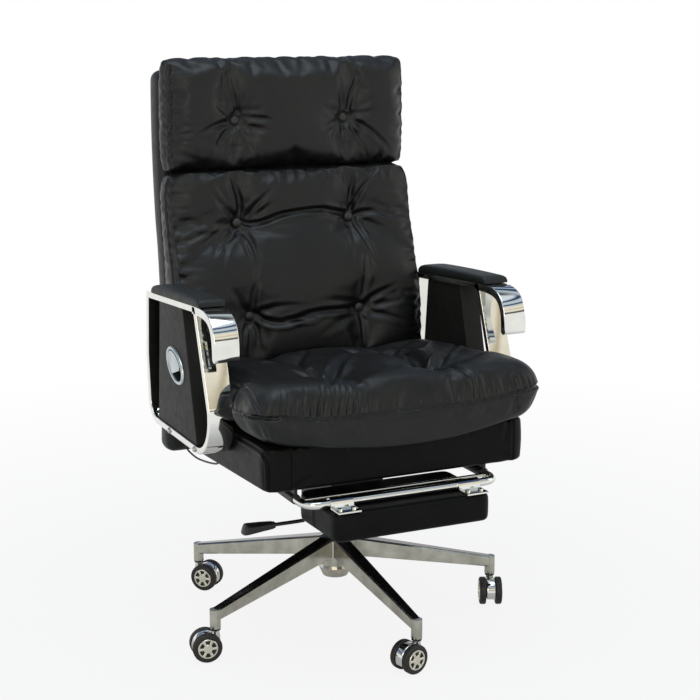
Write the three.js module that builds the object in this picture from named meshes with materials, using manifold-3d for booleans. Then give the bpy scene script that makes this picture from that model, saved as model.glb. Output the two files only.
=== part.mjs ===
// A reclining office chair with a pull-out footrest, in millimetres.
// +Z is up and the sitter faces -Y, so the sitter's right hand is at -X.
// The origin is on the floor, under the axis of the gas column.
import * as THREE from "three";
import { mergeVertices } from "three/addons/utils/BufferGeometryUtils.js";
import Module from "manifold-3d";

const wasm = await Module();
wasm.setup();

// Clearances
const touch = 0.3; // between pieces that rest on each other
const running = 0.5; // round a pin, rod or tube that turns or slides

// Five-legged base
const legCount = 5;
const stemCircle = 340; // from the column axis to each caster stem
const firstLeg = 3.5; // degrees from straight ahead toward +X
const hubBottom = 85;
const hubTop = 168;
const hubRadius = 33;
const bossRadius = 27;
const skirtRadius = 36;
const skirtHeight = 20;
const legRootDepth = 40;
const legRootWidth = 36;
const legTipWidth = 20;
const legTipDepth = 23;
const socketBottom = 63;
const socketHeight = 39;
const socketRadius = 11;
const inlayRootWidth = 25;
const inlayTipWidth = 14;
const inlayDepth = 1.6;
const inlayProud = 0.6;
const inlayRing = 9;

// Casters
const wheelRadius = 29.5;
const wheelWidth = 13;
const rimRadius = 20.5;
const rimProud = 1.2;
const hoodWidth = 20;
const hoodRadius = 28;
const casterTrail = 20;
const axleRadius = 3;
const stemRadius = 5;
const stemCover = 11; // metal left over the top of a stem
const collarRadius = 10;
const windowCount = 6;
const windowDepth = 3;
// The way each caster has swivelled, as the bearing of its wheels from its stem, in degrees from +X
const casterBearings = [195, 246, 30, -46, 172];

// Gas column
const columnRadius = 24;
const columnWall = 2.5;
const columnTop = 247;
const cylinderRadius = 14;
const cylinderLift = 28; // of the cylinder above the foot of the tube
const pistonRadius = 5;
const bushLength = 80;
const bushFlange = 3;

// Tilt mechanism
const mechGap = 3.7; // over the guide bush
const mechHeight = 94;
const mechHalfWidth = 58;
const mechFront = -112;
const mechRear = 44;
const mechWall = 4;
const taperDrop = 44; // height of the cone that seats the mechanism on the cylinder
const taperTopRadius = 13;
const tiltY = -62;
const tiltPinRadius = 6;
const knobRadius = 23;
const knobHeight = 30;
const knobLobes = 6;
const knobStemRadius = 5;

// Height lever, on the sitter's right
const leverY = -76;
const leverPinRise = 26.5; // above the underside of the mechanism
const leverPinRadius = 3;
const leverRodRadius = 4;
const leverBoreDrop = 13; // of the rod below the pin
const leverRodDrop = 27; // of the outer half of the rod below the inner half
const yokeLength = 24;
const yokeWidth = 15;
const earWall = 4;
const leverReach = 107; // from the yoke to the grip
const gripLength = 70;

// Seat plate and upholstered seat base
const plateHalfWidth = 150;
const plateFront = -150;
const plateRear = 130;
const plateWall = 4;
const pocketDepth = 20;
const cheekWall = 4.5;
const baseHalfWidth = 276;
const baseFront = -310;
const baseRear = 222;
const baseGap = 18.3; // between the mechanism and the seat base
const baseDepth = 92;
const seatSlope = 0.05; // how much the seat falls toward the rear
const baseBorder = 28;
const baseEdge = 6; // height of its rounded edges

// Seat cushion
const cushionFront = -348;
const cushionHalfWidth = 302; // ahead of the arms
const cushionBorder = 62;
const cushionCrown = 116; // above the seat base
const cushionSeam = 62; // upper side seam, above the seat base
const cushionFrontSeam = 38; // upper seam in the middle of the front
const cushionWelt = 50; // lower side seam, above the seat base
const cushionLip = 32; // how far the front edge hangs below the top of the seat base
const armGap = 3; // between the cushion and each arm
const seatTuftX = 108;
const seatTuftFront = -208;
const seatTuftRear = -12;
const seatTuftDepth = 12;
const seatTuftSpread = 30;

// Arms, with heights above the foot of the arm
const armRise = 46.7; // of the foot of the arm over the underside of the seat base
const armWidth = 50;
const armBar = 13;
const armRearFootCorner = 50;
const armFrontFootCorner = 82;
const armRearCorner = 60;
const armFrontCorner = 55;
const armTopCorner = 5;
const armRearTop = [212, 275];
const armRearBend = [225, 138];
const armRearFoot = [215, 0];
const armFrontFoot = [-169, 0];
const armFrontBend = [-168, 98];
const armFrontTop = [-97, 293];
const bandThickness = 17;
const bandStart = -80;
const bandEnd = [-199, 210];
const bandReach = [85, 75]; // ahead of its start and above its end, where its curve bends
const panelThickness = 42;
const panelRearTop = 134;
const panelRearFoot = 163;
const panelFrontTop = -12;
const panelFrontFoot = -80;
const panelBevel = 6;
const padOverhang = 3;
const padRear = 170;
const padFront = -127;
const padCrown = 19;
const padBevel = 3.5;
// The pad's thickness from its rear end to its front, as a share of its length against a share of its crown
const padProfile = [
  [0, 0.5],
  [0.02, 0.8],
  [0.08, 0.95],
  [0.25, 1],
  [0.5, 0.97],
  [0.75, 0.89],
  [0.97, 0.78],
  [1, 0.6],
];
const mountWall = 7.4;
const mountHalfLength = 96;
const mountBoltY = 78;
const mountBoltRadius = 3.5;
const mountHeadRadius = 6;
const mountHeadHeight = 4;

// Recline handle in the right arm panel
const bezelY = 39;
const bezelRise = 150;
const bezelLong = 52;
const bezelShort = 33;
const bezelTilt = 22; // degrees
const bezelRim = 8;
const bezelProud = 4;
const handleGap = 9;
const handleDepth = 20;
const handleFloor = 2;
const handlePlate = 4;
const handleSunk = 1; // below the bezel's rim
const handleSwing = 1.5; // round the plate, for its swing
const handlePinRadius = 2.5;
const handlePinY = 61;
const handlePinLow = 2; // above the bezel's centre
const handlePinLength = 20;
const handlePostWidth = 4;

// Release cable, held at both ends under the seat base: y and how far it hangs below
const cableRadius = 2;
const cableInset = 19; // from the side of the seat base
const cableRoute = [
  [212, -11.5],
  [212, 2],
  [210, 8],
  [203, 14.5],
  [186, 20],
  [140, 23.6],
  [95, 21],
  [51, 16],
  [22, 11.4],
  [8, 7.5],
  [4, 2],
  [4, -11.5],
];
const glandDepth = 14;

// Back, with heights above the recline hinge and the shell's rear face as height against y
const shellRearLine = [
  [-66, 368],
  [45, 357],
  [265, 345],
  [386, 352],
  [464, 364],
  [608, 373],
  [725, 370],
  [811, 362],
];
const shellBottom = -64;
const shellTop = 770;
const shellHalfWidth = 267;
const shellThickness = 60;
const shellBorder = 22;
const shellCrown = 6;
const backBottom = 120;
const backTop = 561;
const backCorner = 34;
const backBorder = 52;
const headTop = 793;
const headCorner = 28;
const cushionGap = 2;
const shellRest = 0.8; // between the shell and what is fixed to its front
const backWelt = 30; // from the shell to the rear seams of the back and head cushions
const backSeamShare = 0.86; // of the depth of the back cushion, to its front seam
const headSeamShare = 0.66;
const headInset = 4; // of each side of the head cushion from the side of the back cushion
// Depth of the back and head cushions in front of the shell, as height against depth
const cushionDepthLine = [
  [120, 152],
  [185, 167],
  [271, 160],
  [365, 134],
  [452, 116],
  [565, 110],
  [667, 116],
  [811, 96],
];
const buttonRadius = 10;
const buttonHeight = 8;
const headButtons = { x: 125, rise: 667, y: 225 };
const midButtons = { x: 130, rise: 452, y: 210 };
const lowButtons = { x: 128, rise: 260, y: 151 };

// Recline hinges
const reclinePinRadius = 6;
const hingeEye = 14;
const hingeX = 200;
const hingePlate = 5;

// Footrest
const railX = 203;
const tubeRadius = 8;
const tubeFront = -326;
const tubeRear = 2;
const tubeBend = 30;
const railWall = 1.6;
const railDrop = 0.6; // of the rear of the rails below the seat base
const railFront = -275;
const crossRodGap = 11; // ahead of the rails
const crossRodRadius = 4;
const restHalfWidth = 166;
const restNose = 49; // ahead of the tube
const restRear = -190;
const restThickness = 58;
const restBorder = 24;
const strapX = 135;
const strapWidth = 46;
const strapWall = 3;
const strapNose = 46;
const strapTail = 30;

// Heights and places that follow from these
const socketTop = socketBottom + socketHeight;
const mechBottom = columnTop + touch + bushFlange + mechGap;
const mechTop = mechBottom + mechHeight;
const taperTop = mechTop - 10;
const coneBottom = taperTop - taperDrop;
const tiltZ = mechTop - 3 * tiltPinRadius;
const knobY = mechFront + knobRadius + 1;
const leverPinZ = mechBottom + leverPinRise;
const leverBoreZ = leverPinZ - leverBoreDrop;
const leverRodZ = leverBoreZ - leverRodDrop;
const yokeInner = -mechHalfWidth - 2;
const yokeOuter = yokeInner - yokeLength;
const leverPinX = yokeInner - 0.65 * yokeLength;
const gripStart = yokeOuter - leverReach + yokeLength;
const gripEnd = gripStart - gripLength;
const baseUnder = mechTop + baseGap;
const pocketTop = baseUnder + pocketDepth;
const armInner = baseHalfWidth + mountWall + 2 * touch;
const armOuter = armInner + armWidth;
const armFoot = baseUnder + armRise;
const cushionWaist = armInner - armGap;
const backHalfWidth = armInner - padOverhang - 5;
const headHalfWidth = backHalfWidth - headInset;
const reclineY = baseRear + hingeEye + 4;
const reclineZ = baseUnder;
const tubeZ = baseUnder - tubeRadius - railWall - running - railDrop;
const restTop = tubeZ - tubeRadius - touch;
const crossRodY = railFront - crossRodGap;

const rad = THREE.MathUtils.degToRad;

// A finish for each kind of surface
const finish = (color, roughness, metalness) =>
  new THREE.MeshStandardMaterial({ color, roughness, metalness });
const polishedMetal = finish(0xd6d8d6, 0.14, 1);
const castMetal = finish(0xb9bab4, 0.28, 1);
const blackLeather = finish(0x121314, 0.42, 0);
const armLeather = finish(0x1b1c1b, 0.5, 0);
const blackSteel = finish(0x16171a, 0.45, 0.6);
const zincSteel = finish(0x9a9c9e, 0.4, 1);
const blackPlastic = finish(0x141414, 0.45, 0);
const tyreRubber = finish(0x171613, 0.7, 0);
const satinPlate = finish(0xbfc3c2, 0.3, 0.9);

// Signed volume, to turn a mesh whose faces point inwards
function signedVolume(geometry) {
  const p = geometry.attributes.position;
  const index = geometry.index;
  const [a, b, c] = [new THREE.Vector3(), new THREE.Vector3(), new THREE.Vector3()];
  let volume = 0;
  for (let i = 0; i < index.count; i += 3) {
    a.fromBufferAttribute(p, index.getX(i));
    b.fromBufferAttribute(p, index.getX(i + 1));
    c.fromBufferAttribute(p, index.getX(i + 2));
    volume += a.dot(b.cross(c)) / 6;
  }
  return volume;
}

// A geometry as a closed solid
function solid(geometry) {
  const bare = new THREE.BufferGeometry();
  bare.setAttribute("position", geometry.attributes.position.clone());
  if (geometry.index) bare.setIndex(geometry.index.clone());
  const merged = mergeVertices(bare, 1e-3);
  const triVerts = new Uint32Array(merged.index.array);
  if (signedVolume(merged) < 0)
    for (let i = 0; i < triVerts.length; i += 3)
      [triVerts[i + 1], triVerts[i + 2]] = [triVerts[i + 2], triVerts[i + 1]];
  const vertProperties = new Float32Array(merged.attributes.position.array);
  return new wasm.Manifold(new wasm.Mesh({ numProp: 3, vertProperties, triVerts }));
}

function geometryOf(body) {
  const mesh = body.getMesh();
  const geometry = new THREE.BufferGeometry();
  geometry.setAttribute("position", new THREE.BufferAttribute(mesh.vertProperties, 3));
  geometry.setIndex(new THREE.BufferAttribute(mesh.triVerts, 1));
  geometry.computeVertexNormals();
  return geometry;
}

const join = (...bodies) => bodies.reduce((all, next) => all.add(next));
const cut = (body, ...tools) => tools.reduce((left, tool) => left.subtract(tool), body);

function block(x0, x1, y0, y1, z0, z1) {
  const box = new THREE.BoxGeometry(Math.abs(x1 - x0), Math.abs(y1 - y0), Math.abs(z1 - z0));
  return solid(box.translate((x0 + x1) / 2, (y0 + y1) / 2, (z0 + z1) / 2));
}

// A straight round bar between two points
function bar(radius, from, to, sides = 14) {
  const [a, b] = [new THREE.Vector3(...from), new THREE.Vector3(...to)];
  const along = b.clone().sub(a);
  const cylinder = new THREE.CylinderGeometry(radius, radius, along.length(), sides);
  cylinder.applyQuaternion(
    new THREE.Quaternion().setFromUnitVectors(new THREE.Vector3(0, 1, 0), along.normalize()),
  );
  return solid(cylinder.translate(...a.add(b).multiplyScalar(0.5).toArray()));
}

// A profile of [radius, height] turned about the Z axis
function turned(profile, sides = 24) {
  const points = profile.map(([r, z]) => new THREE.Vector2(r, z));
  return solid(new THREE.LatheGeometry(points, sides).rotateX(Math.PI / 2));
}

const shapeOf = (points) => new THREE.Shape(points.map(([a, b]) => new THREE.Vector2(a, b)));

// An outline in (x, y) raised from one height to another
function raised(points, z0, z1) {
  const options = { depth: z1 - z0, bevelEnabled: false, curveSegments: 8 };
  return solid(new THREE.ExtrudeGeometry(shapeOf(points), options).translate(0, 0, z0));
}

// An outline in (y, z) carried across x, with its long edges bevelled where asked
function across(points, xa, xb, bevel = 0, bevelSegments = 2) {
  const [x0, x1] = [Math.min(xa, xb), Math.max(xa, xb)];
  const options = {
    depth: x1 - x0 - 2 * bevel,
    bevelEnabled: bevel > 0,
    bevelThickness: bevel,
    bevelSize: bevel,
    bevelOffset: -bevel,
    bevelSegments,
  };
  const geometry = new THREE.ExtrudeGeometry(shapeOf(points), options).translate(0, 0, bevel);
  const turn = new THREE.Matrix4().set(0, 0, 1, x0, 1, 0, 0, 0, 0, 1, 0, 0, 0, 0, 0, 1);
  return solid(geometry.applyMatrix4(turn));
}

// A closed skin through rings of points, each ring with the same count
function loft(rings) {
  const n = rings[0].length;
  const positions = rings.flat(2);
  const index = [];
  for (let i = 0; i + 1 < rings.length; i++)
    for (let j = 0; j < n; j++) {
      const k = (j + 1) % n;
      index.push(i * n + j, i * n + k, (i + 1) * n + k, i * n + j, (i + 1) * n + k, (i + 1) * n + j);
    }
  const last = (rings.length - 1) * n;
  for (let j = 1; j + 1 < n; j++) {
    index.push(0, j + 1, j);
    index.push(last, last + j, last + j + 1);
  }
  const geometry = new THREE.BufferGeometry();
  geometry.setAttribute("position", new THREE.Float32BufferAttribute(positions, 3));
  geometry.setIndex(index);
  return solid(geometry);
}

// A round tube along points that lie in one plane, with that plane's normal
function tube(points, radius, normal, sides = 10) {
  const n = new THREE.Vector3(...normal);
  const at = points.map((p) => new THREE.Vector3(...p));
  const rings = at.map((p, i) => {
    const before = p.clone().sub(at[Math.max(i - 1, 0)]);
    const after = at[Math.min(i + 1, at.length - 1)].clone().sub(p);
    if (i === 0) before.copy(after);
    if (i === at.length - 1) after.copy(before);
    const [u, w] = [before.normalize(), after.normalize()];
    const mitre = u.clone().add(w).normalize();
    const widen = 1 / Math.max(mitre.dot(u), 0.5);
    const side = new THREE.Vector3().crossVectors(mitre, n).normalize();
    return Array.from({ length: sides }, (_, k) => {
      const turn = ((k + 0.5) * 2 * Math.PI) / sides;
      const out = side.clone().multiplyScalar(radius * widen * Math.cos(turn));
      return p.clone().add(out).addScaledVector(n, radius * Math.sin(turn)).toArray();
    });
  });
  return loft(rings);
}

// Points round a corner of an open or closed outline, from one side of it to the other
function rounded(corners, steps = 5) {
  const n = corners.length;
  return corners.flatMap(([x, y, radius = 0], i) => {
    if (radius === 0) return [[x, y]];
    const p = new THREE.Vector2(x, y);
    const toward = (q) => new THREE.Vector2(q[0], q[1]).sub(p).normalize();
    const [a, b] = [toward(corners[(i + n - 1) % n]), toward(corners[(i + 1) % n])];
    const half = a.angleTo(b) / 2;
    const reach = radius / Math.tan(half);
    const centre = p.clone().addScaledVector(a.clone().add(b).normalize(), radius / Math.sin(half));
    const start = p.clone().addScaledVector(a, reach).sub(centre);
    const end = p.clone().addScaledVector(b, reach).sub(centre);
    let sweep = end.angle() - start.angle();
    if (sweep > Math.PI) sweep -= 2 * Math.PI;
    if (sweep < -Math.PI) sweep += 2 * Math.PI;
    return Array.from({ length: steps + 1 }, (_, k) =>
      start.clone().rotateAround(new THREE.Vector2(), (sweep * k) / steps).add(centre).toArray(),
    );
  });
}

// An outline moved inwards by a distance, corner by corner
function inset(points, distance) {
  const n = points.length;
  const area = points.reduce((sum, [x, y], i) => {
    const [x1, y1] = points[(i + 1) % n];
    return sum + (x * y1 - x1 * y) / 2;
  }, 0);
  const turn = Math.sign(area);
  const normal = ([x0, y0], [x1, y1]) => {
    const length = Math.hypot(x1 - x0, y1 - y0);
    return [(-(y1 - y0) / length) * turn, ((x1 - x0) / length) * turn];
  };
  return points.map((p, i) => {
    const a = normal(points[(i + n - 1) % n], p);
    const b = normal(p, points[(i + 1) % n]);
    const scale = distance / (1 + a[0] * b[0] + a[1] * b[1]);
    return [p[0] + (a[0] + b[0]) * scale, p[1] + (a[1] + b[1]) * scale];
  });
}

const smoothstep = (t) => THREE.MathUtils.smoothstep(t, 0, 1);

// A value read along a list of [place, value] pairs, on smooth stretches
function along(line, place) {
  const last = line.length - 1;
  const i = Math.min(Math.max(line.findIndex(([p]) => p > place) - 1, 0), last - 1);
  const k = place >= line[last][0] ? last - 1 : i;
  const slope = (j) => {
    const [a, b] = [line[Math.max(j - 1, 0)], line[Math.min(j + 1, last)]];
    return (b[1] - a[1]) / (b[0] - a[0]);
  };
  const [[p0, v0], [p1, v1]] = [line[k], line[k + 1]];
  const span = p1 - p0;
  const t = THREE.MathUtils.clamp((place - p0) / span, 0, 1);
  const [t2, t3] = [t * t, t * t * t];
  return (
    (2 * t3 - 3 * t2 + 1) * v0 +
    (t3 - 2 * t2 + t) * span * slope(k) +
    (3 * t2 - 2 * t3) * v1 +
    (t3 - t2) * span * slope(k + 1)
  );
}

// The grid lines across one width of a stuffed form: close together in its rounded borders
function gridLines(from, to, radius, count, steps, power) {
  const border = Array.from({ length: steps }, (_, k) =>
    Math.sin(((k + 1) / steps) * (Math.PI / 2)) ** (2 / power),
  );
  const middle = Array.from({ length: count + 1 }, (_, k) => ({
    at: from + radius + ((to - from - 2 * radius) * k) / count,
    out: 0,
  }));
  return [
    ...border.toReversed().map((t) => ({ at: from + radius, out: -t })),
    ...middle,
    ...border.map((t) => ({ at: to - radius, out: t })),
  ];
}

// A stuffed form: two faces over a rounded rectangle, each falling to a seam, and a side wall between.
// top, seam, welt and bottom give heights over the plan (x, v); place maps (x, v, height) to the part.
function stuffed({ halfWidth, from, to, border, corner, cells, steps, power = 2, top, seam, welt, bottom, place }) {
  const us = gridLines(-halfWidth, halfWidth, border, cells[0], steps, power);
  const vs = gridLines(from, to, border, cells[1], steps, power);
  const fall = (t) => (1 - Math.min(Math.abs(t), 1) ** power) ** (1 / power);
  const rounding = (t) => 1 - (corner / border) * (1 - Math.sqrt(1 - (t * t) / 2));
  const point = (u, v, a, b, face, edge, flat = false) => {
    const x = u.at + border * a * rounding(b);
    const y = v.at + border * b * rounding(a);
    const share = flat ? 1 : fall(a) * fall(b);
    return place(x, y, edge(x, y) + (face(x, y) - edge(x, y)) * share);
  };
  const positions = [];
  const index = [];
  const add = (p) => positions.push(p) - 1;
  const upper = us.map((u) => vs.map((v) => add(point(u, v, u.out, v.out, top, seam))));
  const [nu, nv] = [us.length - 1, vs.length - 1];
  for (let i = 0; i < nu; i++)
    for (let j = 0; j < nv; j++) {
      const [a, b, c, d] = [upper[i][j], upper[i + 1][j], upper[i + 1][j + 1], upper[i][j + 1]];
      if ((i < nu / 2) === (j < nv / 2)) index.push(a, b, c, a, c, d);
      else index.push(a, b, d, b, c, d);
    }
  const rim = [
    ...Array.from({ length: nu }, (_, i) => [i, 0]),
    ...Array.from({ length: nv }, (_, j) => [nu, j]),
    ...Array.from({ length: nu }, (_, i) => [nu - i, nv]),
    ...Array.from({ length: nv }, (_, j) => [0, nv - j]),
  ];
  const shrink = Array.from({ length: steps }, (_, k) => Math.abs(vs[k].out));
  let ring = rim.map(([i, j]) => upper[i][j]);
  for (const t of shrink) {
    const flat = t === shrink.at(-1);
    const next = rim.map(([i, j]) =>
      add(point(us[i], vs[j], us[i].out * t, vs[j].out * t, bottom, welt, flat)),
    );
    ring.forEach((a, k) => {
      const m = (k + 1) % ring.length;
      index.push(a, next[k], ring[m], ring[m], next[k], next[m]);
    });
    ring = next;
  }
  const at = (i, j) => ring[rim.findIndex(([p, q]) => p === i && q === j)];
  for (let i = 0; i < nu; i++) {
    index.push(at(0, 1), at(i + 1, 0), at(i, 0));
    index.push(at(0, nv - 1), at(i, nv), at(i + 1, nv));
  }
  index.push(at(0, 1), at(nu, 1), at(nu, 0), at(0, nv - 1), at(nu, nv), at(nu, nv - 1));
  for (let j = 1; j + 1 < nv; j++)
    index.push(at(0, j), at(nu, j + 1), at(nu, j), at(0, j), at(0, j + 1), at(nu, j + 1));
  const geometry = new THREE.BufferGeometry();
  geometry.setAttribute("position", new THREE.Float32BufferAttribute(positions.flat(), 3));
  geometry.setIndex(index);
  return solid(geometry);
}

// How deep a tuft, and a sewn fold from one point to another, pull the leather in
const dimple = (x, v, cx, cv, depth, spread) =>
  depth * Math.exp(-((x - cx) ** 2 + (v - cv) ** 2) / (2 * spread * spread));
function fold(x, v, [ax, av], [bx, bv], depth, width) {
  const [dx, dv] = [bx - ax, bv - av];
  const t = THREE.MathUtils.clamp(((x - ax) * dx + (v - av) * dv) / (dx * dx + dv * dv), 0, 1);
  const gap = Math.hypot(x - ax - t * dx, v - av - t * dv);
  return depth * Math.exp(-(gap * gap) / (2 * width * width));
}

const chair = new THREE.Group();
function addPart(name, body, material, parent = chair) {
  const mesh = new THREE.Mesh(geometryOf(body), material);
  mesh.name = name;
  parent.add(mesh);
  return mesh;
}

// Base: the tops and undersides of the legs, as heights at a distance from the axis
const legBearing = (i) => rad(firstLeg + (360 / legCount) * i);
const legFraction = (r) => (stemCircle - r) / (stemCircle - hubRadius);
const legTop = (r) => socketTop + (hubTop - socketTop) * legFraction(r);
const legUnder = (r) => {
  const tip = socketTop - legTipDepth;
  return tip + (hubTop - legRootDepth - tip) * legFraction(r);
};
// Places a point at a distance out along a leg and to its side
const onLeg = (i, r, side, z) => {
  const [s, c] = [Math.sin(legBearing(i)), Math.cos(legBearing(i))];
  return [r * s + side * c, -r * c + side * s, z];
};

function leg(i) {
  const rootR = columnRadius + touch + 4;
  const section = (r, width) => {
    const [w, edge] = [width / 2, 2.5];
    const [low, high] = [legUnder(r), legTop(r)];
    const outline = [[-w + edge, low], [w - edge, low], [w, low + edge], [w, high - edge],
      [w - edge, high], [-w + edge, high], [-w, high - edge], [-w, low + edge]];
    return outline.map(([side, z]) => onLeg(i, r, side, z));
  };
  return loft([section(rootR, legRootWidth), section(stemCircle, legTipWidth)]);
}

// The inlay in the tops of the legs or, grown by a gap, the groove it lies in
function inlay(grow) {
  const low = -inlayDepth - grow;
  const rootR = hubRadius - 6;
  const endR = stemCircle - inlayTipWidth / 2;
  const [w0, w1] = [inlayRootWidth / 2 + grow, inlayTipWidth / 2 + grow];
  const strips = Array.from({ length: legCount }, (_, i) => {
    const arc = Array.from({ length: 5 }, (_, k) => {
      const turn = rad(-90 + 45 * k);
      return [endR + w1 * Math.cos(turn), w1 * Math.sin(turn)];
    });
    const outline = [[rootR, -w0], ...arc, [rootR, w0]];
    const ring = (rise) => outline.map(([r, side]) => onLeg(i, r, side, legTop(r) + rise));
    return loft([ring(low), ring(inlayProud)]);
  });
  const inner = columnRadius + touch;
  const outer = inner + inlayRing + grow;
  const [z0, z1] = [hubTop + low, hubTop + inlayProud];
  const ring = turned([[inner, z0], [outer, z0], [outer, z1], [inner, z1], [inner, z0]], 20);
  const open = bar(columnRadius + touch, [0, 0, hubTop - 20], [0, 0, hubTop + 20], 20);
  return cut(join(ring, ...strips), open);
}

function baseStar() {
  const bore = columnRadius + touch;
  const hub = turned([[0, hubBottom], [bossRadius, hubBottom], [skirtRadius, hubBottom + skirtHeight],
    [hubRadius, hubBottom + skirtHeight + 6], [hubRadius, hubTop], [0, hubTop]], 20);
  const legs = Array.from({ length: legCount }, (_, i) => leg(i));
  const sockets = Array.from({ length: legCount }, (_, i) =>
    bar(socketRadius, onLeg(i, stemCircle, 0, socketBottom), onLeg(i, stemCircle, 0, socketTop), 12),
  );
  const stems = Array.from({ length: legCount }, (_, i) => {
    const [low, high] = [socketBottom - 1, socketTop - stemCover + 2];
    return bar(stemRadius + running, onLeg(i, stemCircle, 0, low), onLeg(i, stemCircle, 0, high), 8);
  });
  const column = bar(bore, [0, 0, hubBottom - 1], [0, 0, hubTop + 1], 20);
  return cut(join(hub, ...legs, ...sockets), column, inlay(touch), ...stems);
}

addPart("base_star", baseStar(), castMetal);
addPart("base_inlay", inlay(0), blackPlastic);

// Casters: each is built round its own stem, then swivelled and set under its leg
const hoodHalf = hoodWidth / 2;
const wheelGap = 0.6;

function casterHood() {
  const bottomCut = wheelRadius - 14;
  const arc = Array.from({ length: 9 }, (_, k) => {
    const turn = rad(-24 + 28.5 * k);
    return [casterTrail + hoodRadius * Math.cos(turn), wheelRadius + hoodRadius * Math.sin(turn)];
  });
  const cheek = across(arc, -hoodHalf, hoodHalf, 1.5, 1);
  const floor = block(-hoodWidth, hoodWidth, -60, 80, -5, bottomCut);
  const neckTop = socketBottom - touch;
  const neck = bar(collarRadius - 2, [0, 0, wheelRadius + 4], [0, 0, neckTop], 10);
  const collar = bar(collarRadius, [0, 0, neckTop - 4], [0, 0, neckTop], 12);
  const stem = bar(stemRadius, [0, 0, neckTop - 1], [0, 0, socketTop - stemCover], 8);
  const reach = hoodHalf + wheelGap + wheelWidth - 3;
  const axle = bar(axleRadius, [-reach, casterTrail, wheelRadius], [reach, casterTrail, wheelRadius], 8);
  return join(cut(cheek, floor), neck, collar, stem, axle);
}

function casterWheel(side) {
  const inner = hoodHalf + wheelGap;
  const outer = inner + wheelWidth;
  const face = outer + rimProud;
  const profile = [[0, inner], [wheelRadius, inner], [wheelRadius, outer - 4], [wheelRadius - 4, outer],
    [rimRadius, outer], [rimRadius, face], [0, face]];
  const points = profile.map(([r, x]) => new THREE.Vector2(r, x));
  const lathe = solid(new THREE.LatheGeometry(points, 16));
  const bore = solid(new THREE.CylinderGeometry(axleRadius + running, axleRadius + running,
    2 * (wheelWidth - 2), 8).translate(0, inner, 0));
  const slots = Array.from({ length: windowCount }, (_, k) => {
    const middle = (k * 2 * Math.PI) / windowCount;
    const corner = (r, spread, level) => {
      const turn = middle + rad(spread);
      return [r * Math.sin(turn), level, r * Math.cos(turn)];
    };
    const [near, far] = [0.45 * rimRadius, 0.86 * rimRadius];
    const ring = (level) => [corner(near, -17, level), corner(far, -22, level),
      corner(far, 22, level), corner(near, 17, level)];
    return loft([ring(face - windowDepth), ring(face + 1)]);
  });
  const turnedIn = geometryOf(cut(lathe, bore, ...slots));
  turnedIn.rotateZ(-side * (Math.PI / 2));
  return solid(turnedIn.translate(0, casterTrail, wheelRadius));
}

const [hood, wheelRight, wheelLeft] = [casterHood(), casterWheel(-1), casterWheel(1)];
for (let i = 0; i < legCount; i++) {
  const caster = new THREE.Group();
  caster.position.set(...onLeg(i, stemCircle, 0, 0));
  caster.rotation.z = rad(casterBearings[i] - 90);
  chair.add(caster);
  addPart(`caster_${i + 1}_hood`, hood, polishedMetal, caster);
  addPart(`caster_${i + 1}_wheel_a`, wheelRight, tyreRubber, caster);
  addPart(`caster_${i + 1}_wheel_b`, wheelLeft, tyreRubber, caster);
}

// Gas column
const tubeFloor = hubBottom + 2;
const tubeFloorWall = 4;
const pistonFoot = 5;
const pistonTop = coneBottom - 30;
const cylinderBottom = tubeFloor + cylinderLift;
function columnTube() {
  const inner = columnRadius - columnWall;
  const floor = tubeFloor + tubeFloorWall;
  const pinHole = pistonRadius - 1 + running;
  return turned([[pinHole, tubeFloor], [columnRadius, tubeFloor], [columnRadius, columnTop],
    [inner, columnTop], [inner, floor], [pinHole, floor], [pinHole, tubeFloor]], 20);
}
function guideBush() {
  const outer = columnRadius - columnWall - touch;
  const inner = cylinderRadius + touch;
  const [low, high] = [columnTop - bushLength, columnTop + touch];
  return turned([[inner, low], [outer, low], [outer, high], [columnRadius, high],
    [columnRadius, high + bushFlange], [inner, high + bushFlange], [inner, low]], 20);
}
function pistonRod() {
  const foot = tubeFloor + tubeFloorWall + touch;
  return turned([[0, tubeFloor], [pistonRadius - 1, tubeFloor], [pistonRadius - 1, foot],
    [2 * pistonRadius, foot], [2 * pistonRadius, foot + pistonFoot], [pistonRadius, foot + pistonFoot],
    [pistonRadius, pistonTop], [0, pistonTop]], 12);
}
function gasCylinder() {
  const bore = pistonRadius + running;
  const boreTop = pistonTop + 8;
  const valve = taperTop + 6;
  return turned([[0, boreTop], [bore, boreTop], [bore, cylinderBottom],
    [cylinderRadius, cylinderBottom], [cylinderRadius, coneBottom], [taperTopRadius, taperTop],
    [4, taperTop], [4, valve], [0, valve]], 20);
}
addPart("column_tube", columnTube(), blackSteel);
addPart("guide_bush", guideBush(), blackPlastic);
addPart("piston_rod", pistonRod(), zincSteel);
addPart("gas_cylinder", gasCylinder(), blackSteel);

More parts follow.
